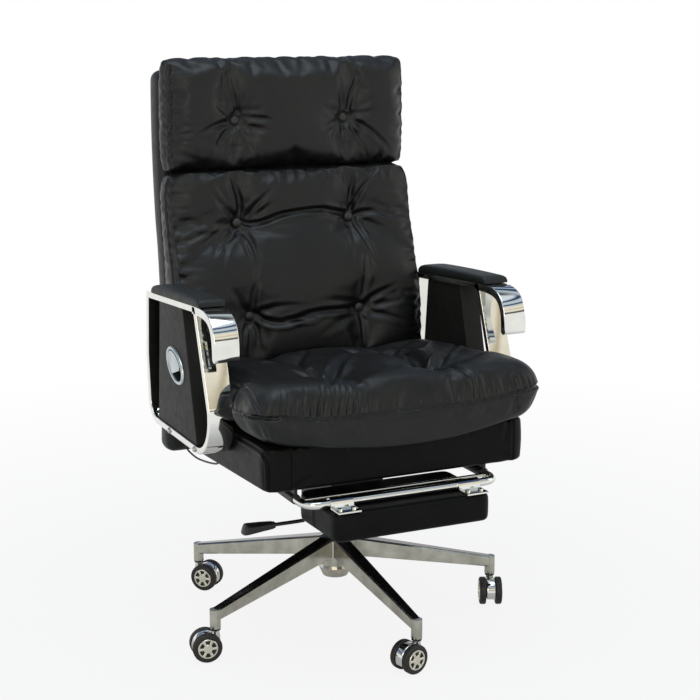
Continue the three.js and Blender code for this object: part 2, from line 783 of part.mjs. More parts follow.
// Tilt mechanism
function mechanismHousing() {
  const w = mechHalfWidth;
  const box = block(-w, w, mechFront, mechRear, mechBottom, mechTop);
  const inside = block(-w + mechWall, w - mechWall, mechFront + mechWall, mechRear - mechWall,
    mechBottom + mechWall, mechTop + 1);
  const boss = bar(cylinderRadius + 8, [0, 0, mechBottom], [0, 0, taperTop], 20);
  const seat = turned([[0, mechBottom - 1], [cylinderRadius + touch, mechBottom - 1],
    [cylinderRadius + touch, coneBottom], [taperTopRadius + touch, taperTop],
    [taperTopRadius + touch, taperTop + 1], [0, taperTop + 1]], 20);
  const pinBore = bar(tiltPinRadius + running, [-w - 5, tiltY, tiltZ], [w + 5, tiltY, tiltZ], 14);
  const knobBore = bar(knobStemRadius + running, [0, knobY, mechBottom - 1], [0, knobY, mechBottom + 9]);
  const earReach = leverPinX - 3 * leverPinRadius;
  const ear = (y0, y1) => block(earReach, -w + 1, y0, y1, leverPinZ - 9, leverPinZ + 9);
  const half = yokeWidth / 2 + touch;
  const ears = [ear(leverY - half - earWall, leverY - half), ear(leverY + half, leverY + half + earWall)];
  const earBore = bar(leverPinRadius + running, [leverPinX, leverY - 30, leverPinZ],
    [leverPinX, leverY + 30, leverPinZ], 10);
  const body = cut(join(cut(box, inside), boss, ...ears), seat, pinBore, knobBore);
  return cut(body, earBore);
}
function tiltPin() {
  const end = mechHalfWidth + running + cheekWall + 4;
  return bar(tiltPinRadius, [-end, tiltY, tiltZ], [end, tiltY, tiltZ], 14);
}
function tensionKnob() {
  const high = mechBottom - 2;
  const low = high - knobHeight;
  const sides = 4 * knobLobes;
  const outline = Array.from({ length: sides }, (_, k) => {
    const turn = (k * 2 * Math.PI) / sides;
    const r = knobRadius - 1.6 + 1.6 * Math.cos(knobLobes * turn);
    return [r * Math.cos(turn), knobY + r * Math.sin(turn)];
  });
  const stem = bar(knobStemRadius, [0, knobY, high - 1], [0, knobY, mechTop - 14], 12);
  return join(raised(outline, low, high), stem);
}
addPart("mechanism_housing", mechanismHousing(), blackSteel);
addPart("tilt_pin", tiltPin(), zincSteel);
addPart("tension_knob", tensionKnob(), blackPlastic);

// Height lever: a yoke that rocks on its pin, and a rod that pulls out through the yoke
function leverYoke() {
  const half = yokeWidth / 2;
  const body = block(yokeOuter, yokeInner, leverY - half, leverY + half, leverBoreZ - 8, leverPinZ + 7);
  const pinReach = half + touch + earWall + 1.5;
  const pin = bar(leverPinRadius, [leverPinX, leverY - pinReach, leverPinZ],
    [leverPinX, leverY + pinReach, leverPinZ], 10);
  const bore = bar(leverRodRadius + running, [yokeOuter - 1, leverY, leverBoreZ],
    [yokeInner + 1, leverY, leverBoreZ], 10);
  return cut(join(body, pin), bore);
}
function leverRod() {
  const bend = yokeOuter - 3;
  const path = [[yokeInner - 1, leverY, leverBoreZ], [bend, leverY, leverBoreZ],
    [bend - 16, leverY, leverRodZ + 3], [bend - 24, leverY, leverRodZ],
    [gripStart - 18, leverY, leverRodZ]];
  return tube(path, leverRodRadius, [0, 1, 0], 10);
}
function leverGrip() {
  const section = (x, halfWidth, halfHeight, lift, lean) => {
    const [w, h] = [halfWidth, halfHeight];
    const c = Math.min(w, h) * 0.45;
    const outline = [[-w + c, -h], [w - c, -h], [w, -h + c], [w, h - c],
      [w - c, h], [-w + c, h], [-w, h - c], [-w, -h + c]];
    return outline.map(([y, z]) => [x + lean * z, leverY + y, leverRodZ + lift + z]);
  };
  const socket = bar(leverRodRadius + touch, [gripStart + 5, leverY, leverRodZ],
    [gripStart - 20, leverY, leverRodZ], 10);
  return cut(loft([section(gripStart, 7, 6.5, 0, 0), section(gripStart - 8, 9, 7.5, 0, 0),
    section(gripStart - 30, 12, 9, 0, 0), section(gripEnd + 10, 14, 11, -1, 0),
    section(gripEnd + 2, 12, 10, -1, 0.35)]), socket);
}
addPart("lever_yoke", leverYoke(), blackSteel);
addPart("lever_rod", leverRod(), blackSteel);
addPart("lever_grip", leverGrip(), blackPlastic);

const cableX = -baseHalfWidth + cableInset;

// Seat base: its underside and top fall gently to the rear
const underBase = (y) => baseUnder - seatSlope * y;
const topOfBase = (y) => underBase(y) + baseDepth;

function seatPlate() {
  const top = pocketTop - touch;
  const plate = block(-plateHalfWidth, plateHalfWidth, plateFront, plateRear, top - plateWall, top);
  const eye = tiltPinRadius + 12;
  const outline = [[tiltY + eye, top - 1], [tiltY - eye, top - 1],
    ...Array.from({ length: 9 }, (_, k) => {
      const turn = rad(180 + 22.5 * k);
      return [tiltY + eye * Math.cos(turn), tiltZ + eye * Math.sin(turn)];
    })];
  const near = mechHalfWidth + running;
  const cheeks = [-1, 1].map((side) => across(outline, side * near, side * (near + cheekWall)));
  const bore = bar(tiltPinRadius + running, [-near - 20, tiltY, tiltZ], [near + 20, tiltY, tiltZ], 14);
  return cut(join(plate, ...cheeks), bore);
}

function seatBase() {
  const bulge = (x) => 1 - (x / baseHalfWidth) ** 2;
  const body = stuffed({
    halfWidth: baseHalfWidth, from: baseFront, to: baseRear, border: baseBorder, corner: baseBorder,
    cells: [5, 5], steps: 3, power: 3,
    top: (x, y) => topOfBase(y), seam: (x, y) => topOfBase(y) - baseEdge,
    welt: (x, y) => underBase(y) + baseEdge, bottom: (x, y) => underBase(y),
    place: (x, y, z) => [x, y < baseFront + baseBorder ? y - 3 * bulge(x) : y, z],
  });
  const pocket = block(-plateHalfWidth - 5, plateHalfWidth + 5, plateFront - 5, plateRear + 5,
    baseUnder - baseDepth, pocketTop);
  const glands = [cableRoute[0], cableRoute.at(-1)].map(([y]) =>
    bar(cableRadius + running, [cableX, y, underBase(y) - glandDepth],
      [cableX, y, underBase(y) + glandDepth], 8),
  );
  return cut(body, pocket, ...glands);
}

// The shell's rear and front faces, and the front of the cushions on it, as y at a height over the hinge
const shellRear = (z) => along(shellRearLine, z);
const shellFront = (z) => shellRear(z) - shellThickness;
const cushionDepth = (z) => along(cushionDepthLine, z);
const cushionRear = Math.min(...[0, 30, 60, 90].map((rise) => {
  const z = backBottom + rise;
  return shellFront(z) - cushionDepth(z);
})) - 2 * cushionGap;

// Seat cushion: wide ahead of the arms and drawn in between them, with a lip over the seat base
const cushionScale = (y) => {
  const past = (armFrontBend[0] - 6 - y) / 44;
  return (cushionWaist + (cushionHalfWidth - cushionWaist) * smoothstep(past)) / cushionHalfWidth;
};
const bow = (x) => 1 - (x / cushionHalfWidth) ** 2;
const overFront = (y, span) => smoothstep((baseFront - 4 - y) / span);
function seatTop(x, y) {
  const back = (y - seatTuftFront) / (cushionRear - seatTuftFront);
  const crown = cushionCrown - 4 * (1 - bow(x)) - 14 * back ** 2;
  const corners = [-1, 1].flatMap((side) => [
    [side * seatTuftX, seatTuftFront],
    [side * seatTuftX, seatTuftRear],
  ]);
  const tufts = corners.reduce(
    (sum, [cx, cy]) => sum + dimple(x, y, cx, cy, seatTuftDepth, seatTuftSpread) +
      fold(x, y, [cx, cy], [Math.sign(cx) * cushionHalfWidth, (cy + seatTuftFront) / 2 + 50], 3, 18), 0);
  const [frontRight, rearRight, frontLeft, rearLeft] = corners;
  const folds = [[frontRight, rearRight], [frontLeft, rearLeft], [frontRight, rearLeft],
    [frontLeft, rearRight], [frontRight, frontLeft], [rearRight, rearLeft]];
  const sewn = folds.reduce((sum, [a, b]) => sum + fold(x, y, a, b, 3, 16), 0);
  return topOfBase(y) + touch + crown - tufts - sewn;
}
function seatCushion() {
  const seam = (x, y) =>
    topOfBase(y) + cushionSeam - (cushionSeam - cushionFrontSeam) * overFront(y, 30) * bow(x);
  const welt = (x, y) => topOfBase(y) + cushionWelt - (cushionWelt + cushionLip * 0.5) * overFront(y, 30) * bow(x);
  return stuffed({
    halfWidth: cushionHalfWidth, from: cushionFront, to: cushionRear,
    border: cushionBorder, corner: cushionBorder, cells: [14, 11], steps: 4, top: seatTop, seam, welt,
    bottom: (x, y) => topOfBase(y) + touch - cushionLip * overFront(y, 10) * bow(x),
    place: (x, y, z) => [x * cushionScale(y), y, z],
  });
}
addPart("seat_plate", seatPlate(), blackSteel);
addPart("seat_base", seatBase(), blackLeather);
addPart("seat_cushion", seatCushion(), blackLeather);

// Arms: a closed chromed loop with a curved band over its front, a padded panel inside and a pad on top
const loopCorners = [armRearTop, armRearBend, armRearFoot, armFrontFoot, armFrontBend, armFrontTop];
const loopRadii = [armTopCorner, armRearCorner, armRearFootCorner, armFrontFootCorner, armFrontCorner,
  armTopCorner];
const loopOutline = (distance) =>
  rounded(inset(loopCorners, distance).map((p, i) => [...p, Math.max(loopRadii[i] - distance, 0)]), 4);
const topSlope = (armFrontTop[1] - armRearTop[1]) / (armFrontTop[0] - armRearTop[0]);
const armTopAt = (y) => armRearTop[1] + topSlope * (y - armRearTop[0]);
const armUnderTopAt = (y) => armTopAt(y) - armBar * Math.hypot(1, topSlope);

function bandOutline() {
  const start = new THREE.Vector2(bandStart, armTopAt(bandStart) - bandThickness / 2);
  const end = new THREE.Vector2(...bandEnd);
  const [ahead, above] = bandReach;
  const curve = new THREE.CubicBezierCurve(start,
    new THREE.Vector2(start.x - ahead, start.y - ahead * topSlope),
    new THREE.Vector2(end.x, end.y + above), end);
  const steps = 9;
  const side = (sign) => Array.from({ length: steps + 1 }, (_, k) => {
    const p = curve.getPoint(k / steps);
    const t = curve.getTangent(k / steps);
    return [p.x - (sign * t.y * bandThickness) / 2, p.y + (sign * t.x * bandThickness) / 2];
  });
  const nose = Array.from({ length: 3 }, (_, k) => {
    const turn = rad(-45 - 45 * k);
    const half = bandThickness / 2;
    return [end.x + half * Math.cos(turn), end.y + half * Math.sin(turn)];
  });
  return [...side(-1), ...nose.reverse(), ...side(1).reverse()];
}

function armFrame(side) {
  const [a, b] = [side * armInner, side * armOuter];
  const hollow = across(loopOutline(armBar), a - side, b + side);
  const ring = cut(across(loopOutline(0), a, b), hollow);
  const band = across(bandOutline(), a, b);
  const bolts = [-mountBoltY, mountBoltY].map((y) =>
    bar(mountBoltRadius + touch, [a - side, y, armBar / 2], [b + side, y, armBar / 2], 10),
  );
  return cut(join(ring, band), ...bolts);
}

const panelMiddle = armInner + armWidth / 2;
const panelOuter = panelMiddle + panelThickness / 2;
function armPanel(side) {
  const foot = armBar + touch;
  const outline = [[panelRearTop, armUnderTopAt(panelRearTop) - touch], [panelRearFoot, foot],
    [panelFrontFoot, foot], [panelFrontTop, armUnderTopAt(panelFrontTop) - touch]];
  const inner = panelMiddle - panelThickness / 2;
  const body = across(outline, side * inner, side * panelOuter, panelBevel);
  return side < 0 ? cut(body, bezelSolid(bezelRim / 2 + touch, panelOuter - handleDepth - touch, panelOuter + 9)) : body;
}

function armPad(side) {
  const line = (t, rise) => {
    const y = padRear + (padFront - padRear) * t;
    return [y, armTopAt(y) + touch + rise];
  };
  const upper = padProfile.map(([t, share]) => line(t, share * padCrown));
  const outline = [line(1, 0), line(0, 0), ...upper];
  return across(outline, side * (armInner - padOverhang), side * (armOuter + padOverhang), padBevel);
}

function armMount(side) {
  const near = baseHalfWidth + touch;
  const far = armInner - touch;
  const z = armBar / 2;
  const plate = block(side * near, side * far, -mountHalfLength, mountHalfLength, 1.5, armBar - 1.5);
  const studs = [-mountBoltY, mountBoltY].flatMap((y) => {
    const head = side * (armOuter + touch);
    const stud = bar(mountBoltRadius, [side * (far - 2), y, z], [head + side, y, z], 10);
    const dome = [[0, 0], [mountHeadRadius, 0], [mountHeadRadius, 2], [mountHeadRadius * 0.6, mountHeadHeight],
      [0, mountHeadHeight]].map(([r, x]) => new THREE.Vector2(r, x));
    const cap = new THREE.LatheGeometry(dome, 12).rotateZ(-side * (Math.PI / 2)).translate(head, y, z);
    return [stud, solid(cap)];
  });
  return join(plate, ...studs);
}

// The oval of the recline handle, standing out of the right panel's face. Its plate turns on an upright pin,
// which bears on a post that stands on the recess's floor.
const bezelFace = panelOuter + touch;
const handleFace = bezelFace + bezelProud - handleSunk;
const handlePinX = handleFace - handlePinRadius;
const bezelPoint = (long, short, turn) => {
  const [p, q] = [long * Math.cos(turn), short * Math.sin(turn)];
  const [s, c] = [Math.sin(rad(bezelTilt)), Math.cos(rad(bezelTilt))];
  return [bezelY + p * c - q * s, bezelRise + p * s + q * c];
};
const ovalOf = (long, short, sides = 20) => Array.from({ length: sides }, (_, k) =>
  bezelPoint(long, short, (k * 2 * Math.PI) / sides));
function bezelSolid(shrink, from, to) {
  return across(ovalOf(bezelLong - shrink, bezelShort - shrink), -from, -to);
}
function handleBezel() {
  const rim = bezelFace + bezelProud;
  const flange = bezelSolid(0, bezelFace, rim);
  const collar = bezelSolid(bezelRim / 2 + 2 * touch, panelOuter - handleDepth, bezelFace + 1);
  const floor = panelOuter - handleDepth + handleFloor;
  const post = block(-(handlePinX - handlePinRadius - touch), -(floor - 1), handlePinY - handlePostWidth / 2,
    handlePinY + handlePostWidth / 2, bezelRise + handlePinLow, bezelRise + handlePinLow + handlePinLength);
  return join(cut(join(flange, collar), bezelSolid(bezelRim, floor, rim + 1)), post);
}
function reclineHandle() {
  const room = bezelRim + handleSwing;
  const outline = ovalOf(bezelLong - room, bezelShort - room);
  const plate = across(outline, -(handleFace - handlePlate), -handleFace);
  const [low, high] = [bezelRise - 2 * bezelLong, bezelRise + 2 * bezelLong];
  const [outer, inner] = [-handleFace - 1, -handleFace + handlePlate + 1];
  const frontEdge = bezelY - bezelLong + room + handleGap;
  const lowerEdge = bezelRise - bezelShort + room + 0.5 * handleGap;
  const frontGap = block(outer, inner, bezelY - 2 * bezelLong, frontEdge, low, high);
  const lowerGap = block(outer, inner, bezelY - 2 * bezelLong, bezelY + 2 * bezelLong, low, lowerEdge);
  const pinLow = bezelRise + handlePinLow;
  const pin = bar(handlePinRadius, [-handlePinX, handlePinY, pinLow],
    [-handlePinX, handlePinY, pinLow + handlePinLength], 10);
  return join(cut(plate, frontGap, lowerGap), pin);
}

const sides = [["right", -1], ["left", 1]];
const arms = new THREE.Group();
arms.position.z = armFoot;
chair.add(arms);
for (const [name, side] of sides) {
  addPart(`arm_frame_${name}`, armFrame(side), polishedMetal, arms);
  addPart(`arm_panel_${name}`, armPanel(side), armLeather, arms);
  addPart(`arm_pad_${name}`, armPad(side), armLeather, arms);
  addPart(`arm_mount_${name}`, armMount(side), zincSteel, arms);
}
addPart("handle_bezel", handleBezel(), satinPlate, arms);
addPart("recline_handle", reclineHandle(), satinPlate, arms);

// Release cable
function reclineCable() {
  const route = cableRoute.map(([y, hang]) => [cableX, y, underBase(y) - hang]);
  return tube(route, cableRadius, [1, 0, 0], 8);
}
addPart("recline_cable", reclineCable(), blackPlastic);

// Recline hinges: a flanged plate under the seat base carries the pin, and an eye plate on the back turns on it
function seatHinge(side) {
  const [front, rear] = [110, baseRear - 7];
  const top = (y) => underBase(y) - touch;
  const flange = across([[front, top(front) - 4], [rear, top(rear) - 4], [rear, top(rear)], [front, top(front)]],
    side * (hingeX - 24), side * (hingeX + 1));
  const eye = Array.from({ length: 11 }, (_, k) => {
    const turn = rad(-110 + 29 * k);
    return [reclineY + hingeEye * Math.cos(turn), reclineZ + hingeEye * Math.sin(turn)];
  });
  const web = across([[front, top(front) - touch], [front, top(front) - 14],
    [reclineY - 40, reclineZ - 34], ...eye, [baseRear + 1.5, top(baseRear) - touch]],
    side * hingeX, side * (hingeX + hingePlate));
  const pinEnd = hingeX + 2 * hingePlate + 2 * running + 3;
  const at = (x) => [side * x, reclineY, reclineZ];
  const pin = bar(reclinePinRadius, at(hingeX + 1), at(pinEnd), 14);
  const head = bar(reclinePinRadius + 3, at(pinEnd - 2), at(pinEnd), 14);
  return join(flange, web, pin, head);
}

// The back is built about the recline hinge's height
function backHinge(side) {
  const near = side * (hingeX + hingePlate + running);
  const far = near + side * hingePlate;
  const [low, middle, high] = [-26, 20, 62];
  const face = (z) => shellFront(z) - shellRest;
  const eye = Array.from({ length: 8 }, (_, k) => {
    const turn = rad(100 + (160 * k) / 7);
    return [reclineY + hingeEye * Math.cos(turn), hingeEye * Math.sin(turn)];
  });
  const web = across([...eye, [face(low) - 3, low], [face(high) - 3, high]], near, far);
  const pad = across([[face(low) - 4, low], [face(low), low], [face(middle), middle], [face(high), high],
    [face(high) - 4, high]], near, near + side * 32);
  const bore = bar(reclinePinRadius + running, [near - side * 5, reclineY, 0],
    [far + side * 5, reclineY, 0], 12);
  return cut(join(web, pad), bore);
}

function backShell() {
  const crown = (x, z) => {
    const up = (z - (shellBottom + shellTop) / 2) / ((shellTop - shellBottom) / 2);
    return shellCrown * (1 - (x / shellHalfWidth) ** 2) * (1 - up * up);
  };
  return stuffed({
    halfWidth: shellHalfWidth, from: shellBottom, to: shellTop, border: shellBorder, corner: shellBorder,
    cells: [3, 15], steps: 3, power: 2.2,
    top: (x, z) => shellRear(z) + crown(x, z), seam: (x, z) => shellRear(z) - shellThickness * 0.3,
    welt: (x, z) => shellRear(z) - shellThickness * 0.7,
    bottom: (x, z) => shellFront(z), place: (x, z, y) => [x, y, z],
  });
}

// A cushion on the front of the shell, with a flat pocket where each button sits
function backForm({ halfWidth, low, high, corner, cells, seamShare, depthAt, buttons }) {
  const body = stuffed({
    halfWidth, from: low, to: high, border: backBorder, corner, cells, steps: 4,
    top: (x, z) => cushionDepth(z) + depthAt(x, z),
    seam: (x, z) => cushionDepth(z) * seamShare, welt: () => backWelt,
    bottom: () => shellRest,
    place: (x, z, h) => [x, shellFront(z) - h, z],
  });
  const pockets = buttons.flatMap(({ x, rise, y }) => [-1, 1].map((side) =>
    bar(buttonRadius + 1, [side * x, y + buttonHeight / 2 + touch, rise], [side * x, 0, rise], 12)));
  return cut(body, ...pockets);
}

// How far a cushion is drawn in at its buttons, so that each button sits a little proud of the leather
const sag = ({ rise, y }) => cushionDepth(rise) - (shellFront(rise) - y) - 0.6 * buttonHeight;
function backCushion() {
  const { x: mx, rise: mz } = midButtons;
  const { x: lx, rise: lz } = lowButtons;
  const [midSag, lowSag] = [sag(midButtons), sag(lowButtons)];
  const depthAt = (x, z) => {
    const round = -16 * (x / backHalfWidth) ** 4;
    const tufts = [-1, 1].reduce((sum, s) => sum +
      dimple(x, z, s * mx, mz, midSag, 26) + dimple(x, z, s * lx, lz, lowSag, 24) +
      fold(x, z, [s * mx, mz], [s * mx * 0.95, backTop], 7, 12) +
      fold(x, z, [s * lx, lz], [s * lx * 1.1, backBottom], 6, 12) +
      fold(x, z, [s * mx, mz], [s * backHalfWidth, (mz + lz) / 2], 5, 14) +
      fold(x, z, [s * mx, mz], [0, (mz + lz) / 2], 5, 14) +
      fold(x, z, [s * lx, lz], [0, (mz + lz) / 2], 5, 14), 0);
    return round - tufts - fold(x, z, [-mx, mz], [mx, mz], 6, 12);
  };
  return backForm({
    halfWidth: backHalfWidth, low: backBottom, high: backTop, corner: backCorner, cells: [14, 11],
    seamShare: backSeamShare, depthAt, buttons: [midButtons, lowButtons],
  });
}
function headCushion() {
  const { x: hx, rise: hz } = headButtons;
  const headSag = sag(headButtons);
  const depthAt = (x, z) => {
    const round = -10 * (x / headHalfWidth) ** 4;
    const tufts = [-1, 1].reduce((sum, s) => sum + dimple(x, z, s * hx, hz, headSag, 26) +
      fold(x, z, [s * hx, hz], [s * headHalfWidth, hz + 60], 4, 12) +
      fold(x, z, [s * hx, hz], [s * headHalfWidth, hz - 70], 4, 12), 0);
    return round - tufts - fold(x, z, [-hx, hz], [hx, hz], 5, 14);
  };
  return backForm({
    halfWidth: headHalfWidth, low: backTop + cushionGap, high: headTop, corner: headCorner,
    cells: [14, 6], seamShare: headSeamShare, depthAt, buttons: [headButtons],
  });
}
function button(side, { x, rise, y }) {
  const half = buttonHeight / 2;
  const dome = [[0, -half], [buttonRadius, -half], [buttonRadius, 0], [buttonRadius * 0.7, half * 0.7],
    [0, half]].map(([r, h]) => new THREE.Vector2(r, h));
  const lathe = new THREE.LatheGeometry(dome, 12).rotateX(Math.PI).translate(side * x, y, rise);
  return solid(lathe);
}

const back = new THREE.Group();
back.position.z = reclineZ;
chair.add(back);
for (const [name, side] of sides) {
  addPart(`seat_hinge_${name}`, seatHinge(side), zincSteel);
  addPart(`back_hinge_${name}`, backHinge(side), zincSteel, back);
  addPart(`head_button_${name}`, button(side, headButtons), blackLeather, back);
  addPart(`mid_button_${name}`, button(side, midButtons), blackLeather, back);
  addPart(`low_button_${name}`, button(side, lowButtons), blackLeather, back);
}
addPart("back_shell", backShell(), blackLeather, back);
addPart("back_cushion", backCushion(), blackLeather, back);
addPart("head_cushion", headCushion(), blackLeather, back);

// Footrest: a bent tube that slides in two rails under the seat base, and a pad that turns on its front bar
function footrestFrame() {
  const arc = (side) => rounded([[side * railX, tubeRear], [side * railX, tubeFront, tubeBend], [0, tubeFront]], 6)
    .filter(([, y]) => y < tubeFront + tubeBend + 0.1);
  const path = [[-railX, tubeRear], ...arc(-1).slice(0, -1), ...arc(1).slice(0, -1).reverse(), [railX, tubeRear]];
  const bent = tube(path.map(([x, y]) => [x, y, tubeZ]), tubeRadius, [0, 0, 1], 12);
  const rod = bar(crossRodRadius, [-railX, crossRodY, tubeZ], [railX, crossRodY, tubeZ], 10);
  return join(bent, rod);
}
function footrestRail(side) {
  const outer = tubeRadius + railWall + running;
  const railRear = tubeRear - 2;
  const at = (y) => [side * railX, y, tubeZ];
  const sleeve = bar(outer, at(railFront), at(railRear), 12);
  const top = (y) => underBase(y) - touch;
  const half = 16;
  const web = across([[railFront, tubeZ + 5], [railRear, tubeZ + 5], [railRear, top(railRear) - 0.2],
    [railFront, top(railFront) - 0.2]], side * railX - 3, side * railX + 3);
  const flange = across([[railFront, top(railFront) - 3], [railRear - 60, top(railRear - 60) - 3],
    [railRear - 60, top(railRear - 60)], [railFront, top(railFront)]], side * railX - half, side * railX + half);
  const bore = bar(tubeRadius + running, at(railFront - 1), at(railRear + 1), 12);
  return cut(join(sleeve, web, flange), bore);
}
function footrestPad() {
  const middle = restTop - restThickness / 2;
  return stuffed({
    halfWidth: restHalfWidth, from: tubeFront - restNose, to: restRear,
    border: restBorder, corner: restBorder, cells: [3, 2], steps: 3, power: 4,
    top: () => restTop, seam: () => middle + 4, welt: () => middle - 4,
    bottom: (x, y) => restTop - restThickness - 0.03 * (y - tubeFront),
    place: (x, y, z) => [x, y, z],
  });
}
function hingeStrap(side) {
  const low = restTop + touch;
  const inner = tubeRadius + running;
  const outer = inner + strapWall;
  const arc = (r, from, to) => Array.from({ length: 9 }, (_, k) => {
    const turn = rad(from + ((to - from) * k) / 8);
    return [tubeFront + r * Math.cos(turn), tubeZ + r * Math.sin(turn)];
  });
  const strapFront = tubeFront - strapNose;
  const strapRear = tubeFront + strapTail;
  const profile = [[strapFront, low], [tubeFront - inner, low], ...arc(inner, 180, 0), [tubeFront + inner, low],
    [strapRear, low], [strapRear, low + strapWall], [tubeFront + outer + 1, low + strapWall],
    ...arc(outer, 10, 170), [tubeFront - outer - 1, low + strapWall], [strapFront, low + strapWall]];
  const half = strapWidth / 2;
  const strap = across(profile, side * strapX - half, side * strapX + half);
  const boltY = (strapFront + tubeFront - outer) / 2;
  const bolts = [-1, 1].map((s) => {
    const x = side * strapX + s * (half - 9);
    return bar(5, [x, boltY, low + 1], [x, boltY, low + strapWall + 3], 8);
  });
  return join(strap, ...bolts);
}
addPart("footrest_frame", footrestFrame(), polishedMetal);
addPart("footrest_pad", footrestPad(), blackLeather);
for (const [name, side] of sides) {
  addPart(`footrest_rail_${name}`, footrestRail(side), blackSteel);
  addPart(`hinge_strap_${name}`, hingeStrap(side), polishedMetal);
}

export default chair;
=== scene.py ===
# The looks of a reclining office chair with a footrest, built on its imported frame.
# Shapes are worked out in millimetres in the frame's axes, and become metres when a mesh is made.
import math

import bmesh
import bpy
import numpy as np
from mathutils import Matrix, Vector
from mathutils.bvhtree import BVHTree


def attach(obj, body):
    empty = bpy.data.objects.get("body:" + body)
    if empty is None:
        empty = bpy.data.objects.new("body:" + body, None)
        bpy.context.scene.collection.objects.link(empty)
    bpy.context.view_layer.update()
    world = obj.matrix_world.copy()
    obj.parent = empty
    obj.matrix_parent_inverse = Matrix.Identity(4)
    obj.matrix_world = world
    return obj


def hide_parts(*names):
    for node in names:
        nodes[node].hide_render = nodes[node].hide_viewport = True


MM = 0.001
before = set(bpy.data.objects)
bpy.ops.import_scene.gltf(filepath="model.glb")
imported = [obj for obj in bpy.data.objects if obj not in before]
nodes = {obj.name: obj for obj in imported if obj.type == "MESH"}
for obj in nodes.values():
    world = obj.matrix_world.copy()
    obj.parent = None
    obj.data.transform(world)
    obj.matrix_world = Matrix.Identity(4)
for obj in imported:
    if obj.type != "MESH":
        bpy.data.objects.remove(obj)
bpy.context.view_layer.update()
scene = bpy.context.scene


# Sizes shared with the frame
BASE_UNDER = 366.3
BASE_DEPTH = 92
SEAT_SLOPE = 0.05
BASE_HALF = 276
BASE_FRONT = -310
BASE_REAR = 222
RECLINE_Z = BASE_UNDER
ARM_FOOT = 413
ARM_INNER = 284
ARM_OUTER = 334
ARM_BAR = 13
TUBE_Z = 355.6
TUBE_FRONT = -326
REST_TOP = TUBE_Z - 8.3
LEVER_Y = -76
LEVER_BORE_Z = 267.5
LEVER_ROD_Z = 240.5
SHELL_THICKNESS = 60
SHELL_REST = 0.8
GLAND_X = -BASE_HALF + 19
GLAND_YS = (212, 4)
CABLE_RADIUS = 2
SIDES = (("right", -1), ("left", 1))


# Small maths
def smoothstep(t):
    t = np.clip(t, 0, 1)
    return t * t * (3 - 2 * t)


def along(line, place):
    """Values read along a list of (place, value) pairs, on smooth stretches."""
    p, v = np.array(line, float).T
    last = len(p) - 1
    place = np.asarray(place, float)
    k = np.clip(np.searchsorted(p, place, side="right") - 1, 0, last - 1)
    before, after = np.maximum(np.arange(last + 1) - 1, 0), np.minimum(np.arange(last + 1) + 1, last)
    slope = (v[after] - v[before]) / (p[after] - p[before])
    span = p[k + 1] - p[k]
    t = np.clip((place - p[k]) / span, 0, 1)
    return (
        (2 * t**3 - 3 * t**2 + 1) * v[k]
        + (t**3 - 2 * t**2 + t) * span * slope[k]
        + (3 * t**2 - 2 * t**3) * v[k + 1]
        + (t**3 - t**2) * span * slope[k + 1]
    )


def rounded(corners, steps=8):
    """Points round an outline whose corners are (a, b, radius)."""
    count, made = len(corners), []
    for i, (x, y, radius) in enumerate(corners):
        p = Vector((x, y))
        if radius <= 0:
            made.append((x, y))
            continue
        a = (Vector(corners[i - 1][:2]) - p).normalized()
        b = (Vector(corners[(i + 1) % count][:2]) - p).normalized()
        half = a.angle(b) / 2
        reach = radius / math.tan(half)
        centre = p + (a + b).normalized() * (radius / math.sin(half))
        start, end = p + a * reach - centre, p + b * reach - centre
        turn = math.atan2(start.cross(end), start.dot(end))
        for k in range(steps + 1):
            c, s = math.cos(turn * k / steps), math.sin(turn * k / steps)
            made.append((centre.x + start.x * c - start.y * s, centre.y + start.x * s + start.y * c))
    return made


def inset(points, distance):
    """A clockwise or anticlockwise outline moved inwards by a distance, corner by corner."""
    p = np.array(points, float)
    q = np.roll(p, -1, axis=0)
    turn = np.sign(np.sum(p[:, 0] * q[:, 1] - q[:, 0] * p[:, 1]))
    d = (q - p) / np.linalg.norm(q - p, axis=1)[:, None]
    after = np.stack([-d[:, 1], d[:, 0]], axis=1) * turn
    before = np.roll(after, 1, axis=0)
    scale = distance / (1 + np.sum(before * after, axis=1))
    return p + (before + after) * scale[:, None]


def smooth_line(points, pieces=6):
    """A soft curve through a few points."""
    p = np.array(points, float)
    if len(p) < 3:
        return p
    padded = np.vstack([2 * p[0] - p[1], p, 2 * p[-1] - p[-2]])
    made = []
    for i in range(len(p) - 1):
        a, b, c, d = padded[i : i + 4]
        slope, bend, twist = c - a, 2 * a - 5 * b + 4 * c - d, 3 * b - a - 3 * c + d
        for t in np.arange(pieces) / pieces:
            made.append(0.5 * (2 * b + slope * t + bend * t**2 + twist * t**3))
    made.append(p[-1])
    return np.array(made)


# Meshes
def mesh_object(name, points, faces, material=None, sharp=None):
    mesh = bpy.data.meshes.new(name)
    places = [tuple(p) for p in np.asarray(points, float) * MM]
    mesh.from_pydata(places, [], [tuple(int(i) for i in f) for f in faces])
    mesh.validate()
    bm = bmesh.new()
    bm.from_mesh(mesh)
    bmesh.ops.recalc_face_normals(bm, faces=bm.faces)
    bm.to_mesh(mesh)
    bm.free()
    mesh.polygons.foreach_set("use_smooth", [True] * len(mesh.polygons))
    if sharp is not None:
        mesh.set_sharp_from_angle(angle=math.radians(sharp))
    obj = bpy.data.objects.new(name, mesh)
    scene.collection.objects.link(obj)
    if material:
        mesh.materials.append(material)
    return obj


def shade(obj, sharp):
    """Smooth shading, with edges past an angle in degrees kept sharp."""
    obj.data.polygons.foreach_set("use_smooth", [True] * len(obj.data.polygons))
    obj.data.set_sharp_from_angle(angle=math.radians(sharp))


def read_points(obj):
    co = np.empty(len(obj.data.vertices) * 3)
    obj.data.vertices.foreach_get("co", co)
    return co.reshape(-1, 3) / MM


